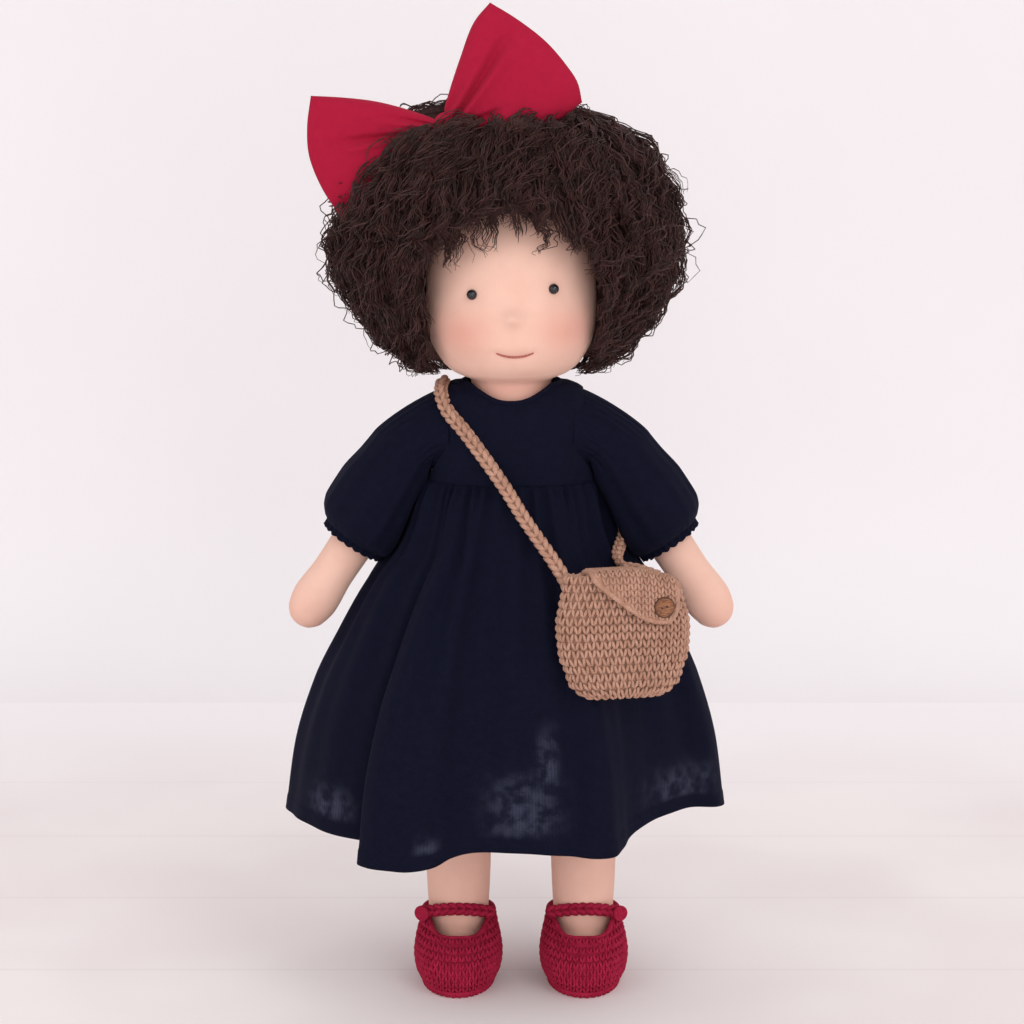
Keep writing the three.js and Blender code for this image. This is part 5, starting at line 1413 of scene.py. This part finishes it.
def makeWigBase():
    # The cap that the hair is knotted into, with the dense hair close to it.
    share = steps((0.06, 0.95, 70), (0.93, 0.97, 8))
    turn = turnOf(120)
    rings = wigPoint(*np.broadcast_arrays(share[:, None], turn), 0.79)
    pick = np.random.default_rng(3)
    lumps = sum(
        np.sin(turn * around + share[:, None] * down + pick.uniform(0, 6))
        for around, down in ((9, 20), (17, 33), (26, 12), (13, 51))
    )
    rings = rings + unit(rings - np.array(hair["middle"])) * 0.7 * lumps[..., None]
    made = loft("wig_base", rings, capped=True)
    headCutter = loft("cutter", ballRings(hair["headMiddle"], hair["capEgg"], 60, 96), capped=True)
    # The opening for the face is an arch, a little wider than the parting of the hair.
    face = hair["face"]
    half, rise = face["half"] + 3.5, face["top"] + 3 - face["spring"]
    outline = [
        (face["middle"] + half * math.cos(angle), face["spring"] + rise * math.sin(angle))
        for angle in np.linspace(0, math.pi, 40)
    ]
    outline += [(face["middle"] - half, 240), (face["middle"] + half, 240)]
    slab = np.array([[(x, y, z) for x, z in outline] for y in (-120, -5)])
    windowCutter = loft("cutter", slab, capped=True)
    neck = stackRings(np.array([250.0, 300.0]), 24.0, 24.0, 2.0, 48, (1, 0))
    neckCutter = loft("cutter", neck, capped=True)
    cutBy(made, [windowCutter, headCutter, neckCutter])
    finishPiece(made, mohair, "head", ["wig_cap"])


makeWigBase()
makeHair()
print("hair is made")


# Crochet: one stitch shape, and the places where it is worked

def stitchShape():
    # Two legs of yarn that meet at the bottom, one unit tall and one unit wide.
    share = np.linspace(0, 1, 5)
    places, faces = [], []
    for side in (-1, 1):
        path = np.stack([
            side * (0.05 + 0.34 * share**0.8), -0.62 + 1.12 * share, 0.30 * np.sin(math.pi * share) - 0.06,
        ], -1)
        rings = tubeRings(path, 0.2 * np.array([0.8, 1.0, 1.08, 1.0, 0.75]), 6)
        rows, columns = rings.shape[:2]
        offset = len(places) * rows * columns
        places.append(rings.reshape(-1, 3))
        faces += (gridQuads(rows, columns, rows - 1, columns)[2] + offset).tolist()
        for first in (offset, offset + (rows - 1) * columns):
            faces.append(list(range(first, first + columns)))
    return objectOf("stitch", tidyNormals(meshFrom("stitch", np.vstack(places), faces)))


stitch = stitchShape()


def placeStitches(name, places, up, out, stretch, size, material):
    # Places in millimetres; up and out are the directions of each stitch.
    up = unit(up)
    out = unit(out - up * (out * up).sum(1, keepdims=True))
    axes = np.stack([np.cross(up, out), up, out], -1)
    turns = [tuple(Matrix(rows).to_euler()) for rows in axes.tolist()]
    mesh = bpy.data.meshes.new(name)
    mesh.from_pydata((places * mm).tolist(), [], [])
    for key, values in (("turn", turns), ("stretch", stretch)):
        layer = mesh.attributes.new(key, "FLOAT_VECTOR", "POINT")
        layer.data.foreach_set("vector", np.asarray(values, np.float32).ravel())
    inputs = {"Stitch": stitch, "Stitch Size": size * mm, "Yarn Material": material}
    return grown(objectOf(name, mesh), crochetStitches, inputs)


def ringStitches(name, surface, shares, pitch, material, size, shift=0.5, pickFrom=None):
    # Stitches in rounds over a closed surface given as rings of points.
    rounds = []
    for index, share in enumerate(shares):
        # The round itself, with the rings just below and just above it.
        close = surface(np.array([share - 0.01, share, share + 0.01]))
        lower, ring, upper = np.concatenate([close, close[:, :1]], 1)
        length = lengthAlong(ring)
        count = max(6, round(length[-1] / pitch))
        at = (np.arange(count) + shift * (index % 2)) / count * length[-1]
        places = sampled(ring, at, length)
        up = sampled(upper, at, length) - sampled(lower, at, length)
        out = np.cross(np.roll(places, -1, 0) - np.roll(places, 1, 0), up)
        out *= np.sign((out * (places - ring[:-1].mean(0))).sum() or 1)
        stretch = np.tile([length[-1] / count / pitch, 1, 1], (count, 1))
        rounds.append((places, up, out, stretch))
    places, up, out, stretch = [np.concatenate(part) for part in zip(*rounds)]
    if pickFrom is not None:
        chosen = pickFrom(places)
        places, up, out, stretch = places[chosen], up[chosen], out[chosen], stretch[chosen]
    return placeStitches(name, places, up, out, stretch, size, material)


def joined(name, parts):
    # One object made of several, which are then removed.
    work = bmesh.new()
    for part in parts:
        work.from_mesh(part.data)
    mesh = bpy.data.meshes.new(name)
    work.to_mesh(mesh)
    work.free()
    for part in parts:
        bpy.data.objects.remove(part)
    mesh.shade_smooth()
    return objectOf(name, mesh)


def bandStitches(name, path, up, width, lift, material):
    # One V of yarn across each face of the band at each step, worked along it.
    length = lengthAlong(path)
    count = max(3, round(length[-1] / (width * 0.62)))
    at = (np.arange(count) + 0.5) / count * length[-1]
    places, ahead = sampled(path, at, length), sampled(np.gradient(path, axis=0), at, length)
    out = unit(sampled(up, at, length))
    stretch = np.tile([1.25, 0.95, 0.8], (count, 1))
    return joined(name, [
        placeStitches(name, places + face * out * lift, ahead, face * out, stretch, width * 0.78, material)
        for face in (1, -1)
    ])


def disc(name, centre, facing, values):
    # A turned button. Its profile gives shares of the radius and of half the thickness, front to back.
    facing = unit(np.asarray(facing, float))
    across = unit(np.cross(facing, [0, 0, 1.0]))
    up = np.cross(across, facing)
    turn = turnOf(48)[:, None]
    radius, height = flatLine(values["profile"], 40).T[..., None, None]
    rings = (
        centre
        + np.clip(radius, 0.01, 2) * values["radius"] * (np.cos(turn) * across + np.sin(turn) * up)
        + height * values["thick"] / 2 * facing
    )
    return loft(name, rings, capped=True)


# The shoes

shoe = {
    "width": 19.0, "toe": 41.0, "heel": 18.0, "bottom": 3.3, "rise": 27.7, "wall": 2.2,
    "rows": [
        (0, 0.88, 0.08), (0.2, 0.99, 0.01), (0.4, 1.02, 0.03), (0.65, 0.97, 0.17), (0.82, 0.9, 0.38),
        (1, 0.842, 0.62),
    ],
    "mouth": {"y": -7.0, "half": (13.3, 20.0), "lowest": 22, "bound": 30.6},
    "stitch": 3.0, "columns": 150,
    # Height and inset of each row of the sole.
    "sole": [(0.0, 4.2), (0.5, 3.3), (1.4, 2.6), (2.3, 2.2), (3.0, 2.4)],
    "strap": {
        "inside": 16.2, "outside": 17.6, "y": -15.2, "bow": 5, "z": 31.6, "rise": 3.2, "band": 5.6,
        "up": (0, -0.82, 0.57), "lift": 0.75,
    },
    "button": {
        "radius": 3.6, "thick": 2.4, "turn": 26.0, "alongStrap": 0.95, "out": 2.5,
        "profile": [
            (0.0, 0.35), (0.35, 0.3), (0.6, 0.55), (0.82, 1.0), (0.97, 0.8), (1.0, 0.3), (0.93, -0.5),
            (0.5, -1.0), (0.0, -1.0),
        ],
    },
}


def shoeRing(middle, heights, width, toe, heel):
    turn = turnOf(shoe["columns"])
    c, s = np.cos(turn), np.sin(turn)
    width, toe, heel = [np.broadcast_to(part, heights.shape)[:, None] for part in (width, toe, heel)]
    x = middle + width * (1 - 0.13 * np.maximum(0, s)) * c
    y = (heel - toe) / 2 + (toe + heel) / 2 * s
    return np.stack([x, y, np.repeat(heights[:, None], len(turn), 1)], -1)


def makeShoe(sideName):
    middle = leg["middles"][sideName]
    mouth, stitchSize = shoe["mouth"], shoe["stitch"]

    def upperSurface(share):
        width, back = rowsAt(shoe["rows"], share).T
        return shoeRing(
            middle, shoe["bottom"] + shoe["rise"] * share, shoe["width"] * width,
            shoe["toe"] * (1 - back), shoe["heel"] - 1.5 * share,
        )

    def outside(rings):
        x = (rings[..., 0] - middle) / mouth["half"][0]
        y = (rings[..., 1] - mouth["y"]) / mouth["half"][1]
        return (abs(x) ** 2.8 + abs(y) ** 2.8 > 1) | (rings[..., 2] < mouth["lowest"])

    def onUpper(places):
        return outside(places) & (places[:, 2] < mouth["bound"])

    rings = cutAtMouth(upperSurface, outside, shoe["columns"], 30, 1.0)
    edge = splineThrough(rings[-1][::5], 120, closed=True)
    shell = loft("shell", rings)
    thickened(shell, shoe["wall"] - 0.5)
    shares = np.linspace(0.05, 0.95, 10)
    knit = ringStitches("knit", upperSurface, shares, stitchSize, redYarn, stitchSize * 1.02, 0.5, onUpper)
    rim = tube("rim", edge - np.array([0, 0, 0.3]), 1.25, 8, closed=True)
    upper = joined(sideName + "_crochet_upper", [shell, knit, rim])
    finishPiece(upper, redYarn, sideName + "_leg", [sideName + "_shoe_upper"])

    tread, inset = np.array(shoe["sole"]).T
    base = shoeRing(middle, tread, shoe["width"] - inset, shoe["toe"] - inset, shoe["heel"] - inset)
    core = loft("core", base, capped=True)

    def soleSurface(share):
        return shoeRing(middle, 0.2 + 2.8 * share, shoe["width"] - 3, shoe["toe"] - 3.4, shoe["heel"] - 2.4)

    edging = ringStitches("edging", soleSurface, [0.5], stitchSize, redYarn, stitchSize * 0.9)
    sole = joined(sideName + "_crochet_sole", [core, edging])
    finishPiece(sole, redYarn, sideName + "_leg", [sideName + "_shoe_sole"])

    # The strap goes over the instep, from the inside of the foot to its outside.
    strap = shoe["strap"]
    side = 1 if sideName == "left" else -1
    share = np.linspace(0, 1, 34)
    path = np.stack([
        middle + side * (share * (strap["outside"] + strap["inside"]) - strap["inside"]),
        strap["y"] + strap["bow"] * (1 - np.sin(math.pi * share)),
        strap["z"] + strap["rise"] * np.sin(math.pi * share),
    ], -1)
    bandUp = np.tile(strap["up"], (len(path), 1))
    core = tube("core", path, strap["band"] / 2 - 0.6, 12, flatness=0.42, up=bandUp)
    knit = bandStitches("knit", path, bandUp, strap["band"], strap["lift"], redYarn)
    band = joined(sideName + "_crochet_strap", [core, knit])
    finishPiece(band, redYarn, sideName + "_shoe_strap", [sideName + "_shoe_strap"])

    values = shoe["button"]
    at = path[round(values["alongStrap"] * (len(path) - 1))]
    turn = math.radians(values["turn"])
    facing = np.array([side * math.sin(turn), -math.cos(turn), 0])
    button = disc(sideName + "_round_button", at + facing * values["out"], facing, values)
    finishPiece(button, redYarn, sideName + "_shoe_strap", [sideName + "_shoe_button"])


for sideName in ("right", "left"):
    makeShoe(sideName)
print("shoes are made")


# The bag

bag = {
    "place": (47.0, -48.97, 200.6), "turn": 14.0, "lean": -6.0, "width": 25.0, "bulge": 4.0,
    "depth": 8.5, "tall": 53.0, "wall": 2.6, "power": 3.2, "stitch": 3.45, "sag": 4.5,
    # Share of the height, then shares of the width, the bulge and the depth.
    "rows": [
        (0, 0.66, 0, 0.45), (0.05, 0.86, 0, 0.72), (0.16, 1, 0, 0.93), (0.35, 1, 0.8, 1), (0.6, 1, 1, 1),
        (0.8, 1, 0.5, 0.94), (1, 1, 0, 0.8),
    ],
    "flap": {
        "left": -15.0, "right": 21.5, "thick": 2.4, "stitch": 3.1, "rim": 1.25,
        "edge": [(-15, -2), (-8, -8), (5.8, -18.2), (13, -20.6), (19.0, -19.6), (21.5, -12)],
        # How the cloth of the flap runs from its back edge over the top and down the front.
        "fall": [
            (-0.4, -2.5), (-0.8, -0.3), (-3.2, 0.5), (-9, 0.7), (-15, 0.4), (-18.0, -1.2), (-19.2, -4),
            (-19.9, -9), (-20.0, -15), (-19.8, -24),
        ],
    },
    "button": {
        "place": (15.0, -21.3, -14.4), "radius": 4.6, "thick": 2.6, "hole": (1.15, 0.3),
        "profile": [
            (0.0, 0.45), (0.3, 0.48), (0.6, 0.6), (0.78, 0.98), (0.92, 0.95), (1.0, 0.45), (0.98, -0.3),
            (0.7, -1.0), (0.0, -1.0),
        ],
    },
    "strap": {
        "width": 6.0, "thick": 2.2, "lift": 0.5,
        # Angle round the dress, share of the drop, and how far off the dress in thicknesses.
        "route": [
            (-84, 1.27, 2.7), (-94, 0.98, 2.7), (-107, 0.68, 1.15), (-121, 0.41, 0.75), (-136, 0.2, 0.9),
            (-152, 0.02, 1.2), (180, -0.05, 0.9), (152, 0.02, 1.2), (136, 0.2, 0.9), (118, 0.44, 0.75),
            (98, 0.68, 0.95), (78, 0.9, 1.05), (58, 1.12, 0.8), (38, 1.29, 0.65), (16, 1.46, 0.45),
            (-8, 1.63, 0.5), (-32, 1.83, 1.1),
        ],
        "shoulder": 275.6, "drop": 41.0,
    },
}
bagTurn = Matrix.Rotation(math.radians(bag["turn"]), 3, "Z")
bagAxes = np.array(bagTurn @ Matrix.Rotation(math.radians(bag["lean"]), 3, "X"))
bagFront = bagAxes @ np.array([0, -1.0, 0])
flapFall = flatLine(bag["flap"]["fall"], 200)
flapLength = lengthAlong(flapFall)


def bagToWorld(places):
    return np.asarray(places, float) @ bagAxes.T + np.array(bag["place"])


def topSlope(x):
    # The right end of the bag's top sags a little.
    return bag["sag"] * smoothStep(x, 2, 26)


def bagRings(share, inset=0.0):
    narrow, bulge, depth = rowsAt(bag["rows"], share).T
    halfWidth = bag["width"] * narrow + bag["bulge"] * bulge - inset
    rings = stackRings(
        -bag["tall"] * (1 - share), halfWidth, bag["depth"] * depth - inset, bag["power"], 160,
        (0, -bag["depth"]),
    )
    rings[..., 2] -= topSlope(rings[..., 0]) * (share**2)[:, None]
    return rings


def makeBag():
    # The outside, with its lowest ring drawn in, and then the inside back down.
    outer = bagRings(np.concatenate([[0.0, 0.01], np.linspace(0.03, 1, 46)]), 1.1)
    outer[0] = outer[0] * [0.9, 0.9, 1] + [0, -0.85, 0]
    inner = bagRings(np.linspace(1, 0.08, 30), bag["wall"])
    shell = loft("shell", bagToWorld(np.concatenate([outer, inner])), capped=True)

    def surface(share):
        return bagToWorld(bagRings(share, 0.45))

    rows = round(bag["tall"] / bag["stitch"])
    shares = np.concatenate([[0.006], (np.arange(rows) + 0.55) / rows])
    knit = ringStitches("knit", surface, shares, bag["stitch"], tanYarn, bag["stitch"], 0.0)
    made = joined("crochet_bag", [shell, knit])
    finishPiece(made, tanYarn, "bag", ["bag_body"])


def flapPoint(across, down):
    # A place on the flap: across from 0 to 1, down in millimetres along the cloth from its back edge.
    flap = bag["flap"]
    x = flap["left"] + across * (flap["right"] - flap["left"])
    y, z = [np.interp(down, flapLength, flapFall[:, axis]) for axis in (0, 1)]
    return np.stack([x, y, z - topSlope(x)], -1)


def makeFlap():
    flap = bag["flap"]
    width, pitch = flap["right"] - flap["left"], flap["stitch"]
    across = np.linspace(0, 1, 56)
    x = flap["left"] + across * width
    edge = flatLine(flap["edge"], 200)
    low = np.interp(x, edge[:, 0], edge[:, 1]) + topSlope(x)
    # The lower edge lies on the front, the part of the fall after its first 80 points.
    ends = np.interp(-low, -flapFall[80:, 1], flapLength[80:])
    rings = np.array([flapPoint(across, ends * part) for part in np.linspace(0, 1, 44)])
    sheet = loft("sheet", bagToWorld(rings), around=False)
    thickened(sheet, flap["thick"] - 0.9, 0)
    # Rows of stitches across the flap, and a chained edge round it.
    places, ups = [], []
    rowLength = round(width / pitch)
    for down in np.arange(pitch * 0.6, ends.max() - 0.5, pitch * 0.9):
        for share in np.arange(0.5, rowLength) / rowLength:
            if down <= np.interp(share, across, ends) - 1.2:
                spot, ahead = flapPoint(np.array([share, share]), np.array([down, down + 0.5]))
                places.append(spot)
                ups.append(spot - ahead)
    places, ups = np.array(places), np.array(ups)
    outs = unit(np.cross([1.0, 0, 0], ups))
    outs = outs * np.sign((outs * (places - np.array([0, -8.5, -8]))).sum(1, keepdims=True))
    knit = placeStitches(
        "knit", bagToWorld(places + outs * 0.55), ups @ bagAxes.T, outs @ bagAxes.T,
        np.ones((len(places), 3)), pitch * 1.02, tanYarn,
    )
    rimLine = np.concatenate([rings[:, 0], rings[-1, 1:-1], rings[::-1, -1]])
    rimPath = splineThrough(bagToWorld(rimLine[::3]), 170)
    chain = 1 + 0.13 * np.sin(np.linspace(0, 170 * 0.95, 170) * 2.4)
    rim = tube("rim", rimPath, flap["rim"] * chain, 10)
    made = joined("crochet_flap", [sheet, knit, rim])
    finishPiece(made, tanYarn, "bag_flap", ["bag_flap"])


def makeBagButton():
    values = bag["button"]
    centre = bagToWorld([values["place"]])[0]
    made = disc("bag_round_button", centre, bagFront, values)
    # Painted shade: two thread holes in the front are painted dark, and shade is painted round the rim.
    x, y, z = ((pointPlaces(made) - centre) @ bagAxes).T
    holeX, holeZ = values["hole"]
    holes = [1 - smoothStep(np.hypot(x - side * holeX, z - side * holeZ), 0.35, 0.75) for side in (-1, 1)]
    rim = smoothStep(np.hypot(x, z), 3.4, 4.3) * 0.75
    pointValues(made, "hole_and_rim_shade", np.maximum(np.maximum(*holes) * (y < 0), rim))
    finishPiece(made, buttonWood, "bag_flap", ["bag_button"])


def makeBagStrap():
    values = bag["strap"]
    behindStart = bagToWorld([(-22, -0.3, -12), (-22, -0.3, -6)])
    behindEnd = bagToWorld([(22, -0.3, -6), (22, -0.3, -12)])
    middle = []
    for angle, drop, off in values["route"]:
        z = values["shoulder"] - values["drop"] * drop
        halfWidth, halfDepth = dressHalves(np.array([z]))[0]
        turn = math.radians(angle)
        onDress = np.array([halfWidth * math.cos(turn), halfDepth * math.sin(turn)])
        direction = unit(np.array([math.cos(turn) / halfWidth, math.sin(turn) / halfDepth]))
        x, y = onDress + direction * (off * values["thick"] + values["lift"])
        middle.append([bodice["centre"] + x, y, z])
    path = splineThrough(np.vstack([behindStart, middle, behindEnd]), 260)
    # The band faces away from the dress, upwards at the shoulder and forwards where it joins the bag.
    x, y, z = path.T
    up = unit(np.stack([(x - bodice["centre"]) / 1.9, y, 1.6 * np.maximum(0, z - 263.6)], -1))
    share = np.linspace(0, 1, len(path))
    ends = np.maximum(1 - smoothStep(share, 0, 0.08), smoothStep(share, 0.92, 1))[:, None]
    up = up * (1 - ends) + bagFront * ends
    core = tube("core", path, values["width"] / 2 - 0.8, 12, flatness=0.34, up=up)
    knit = bandStitches("knit", path, up, values["width"], 0.75, tanYarn)
    made = joined("crochet_strap", [core, knit])
    finishPiece(made, tanYarn, "root", ["bag_strap"])


makeBag()
makeFlap()
makeBagButton()
makeBagStrap()
bpy.data.objects.remove(stitch)
print("bag is made")


# The small parts that keep their own shape get their finishes

ownFinishes = {
    "bow_clip": clipSteel, "dress_back_button_top": navyPlastic, "dress_back_button_bottom": navyPlastic,
    "right_sleeve_elastic": elasticCord, "left_sleeve_elastic": elasticCord,
}
for nodeName, material in ownFinishes.items():
    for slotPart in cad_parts[nodeName].material_slots:
        slotPart.material = material
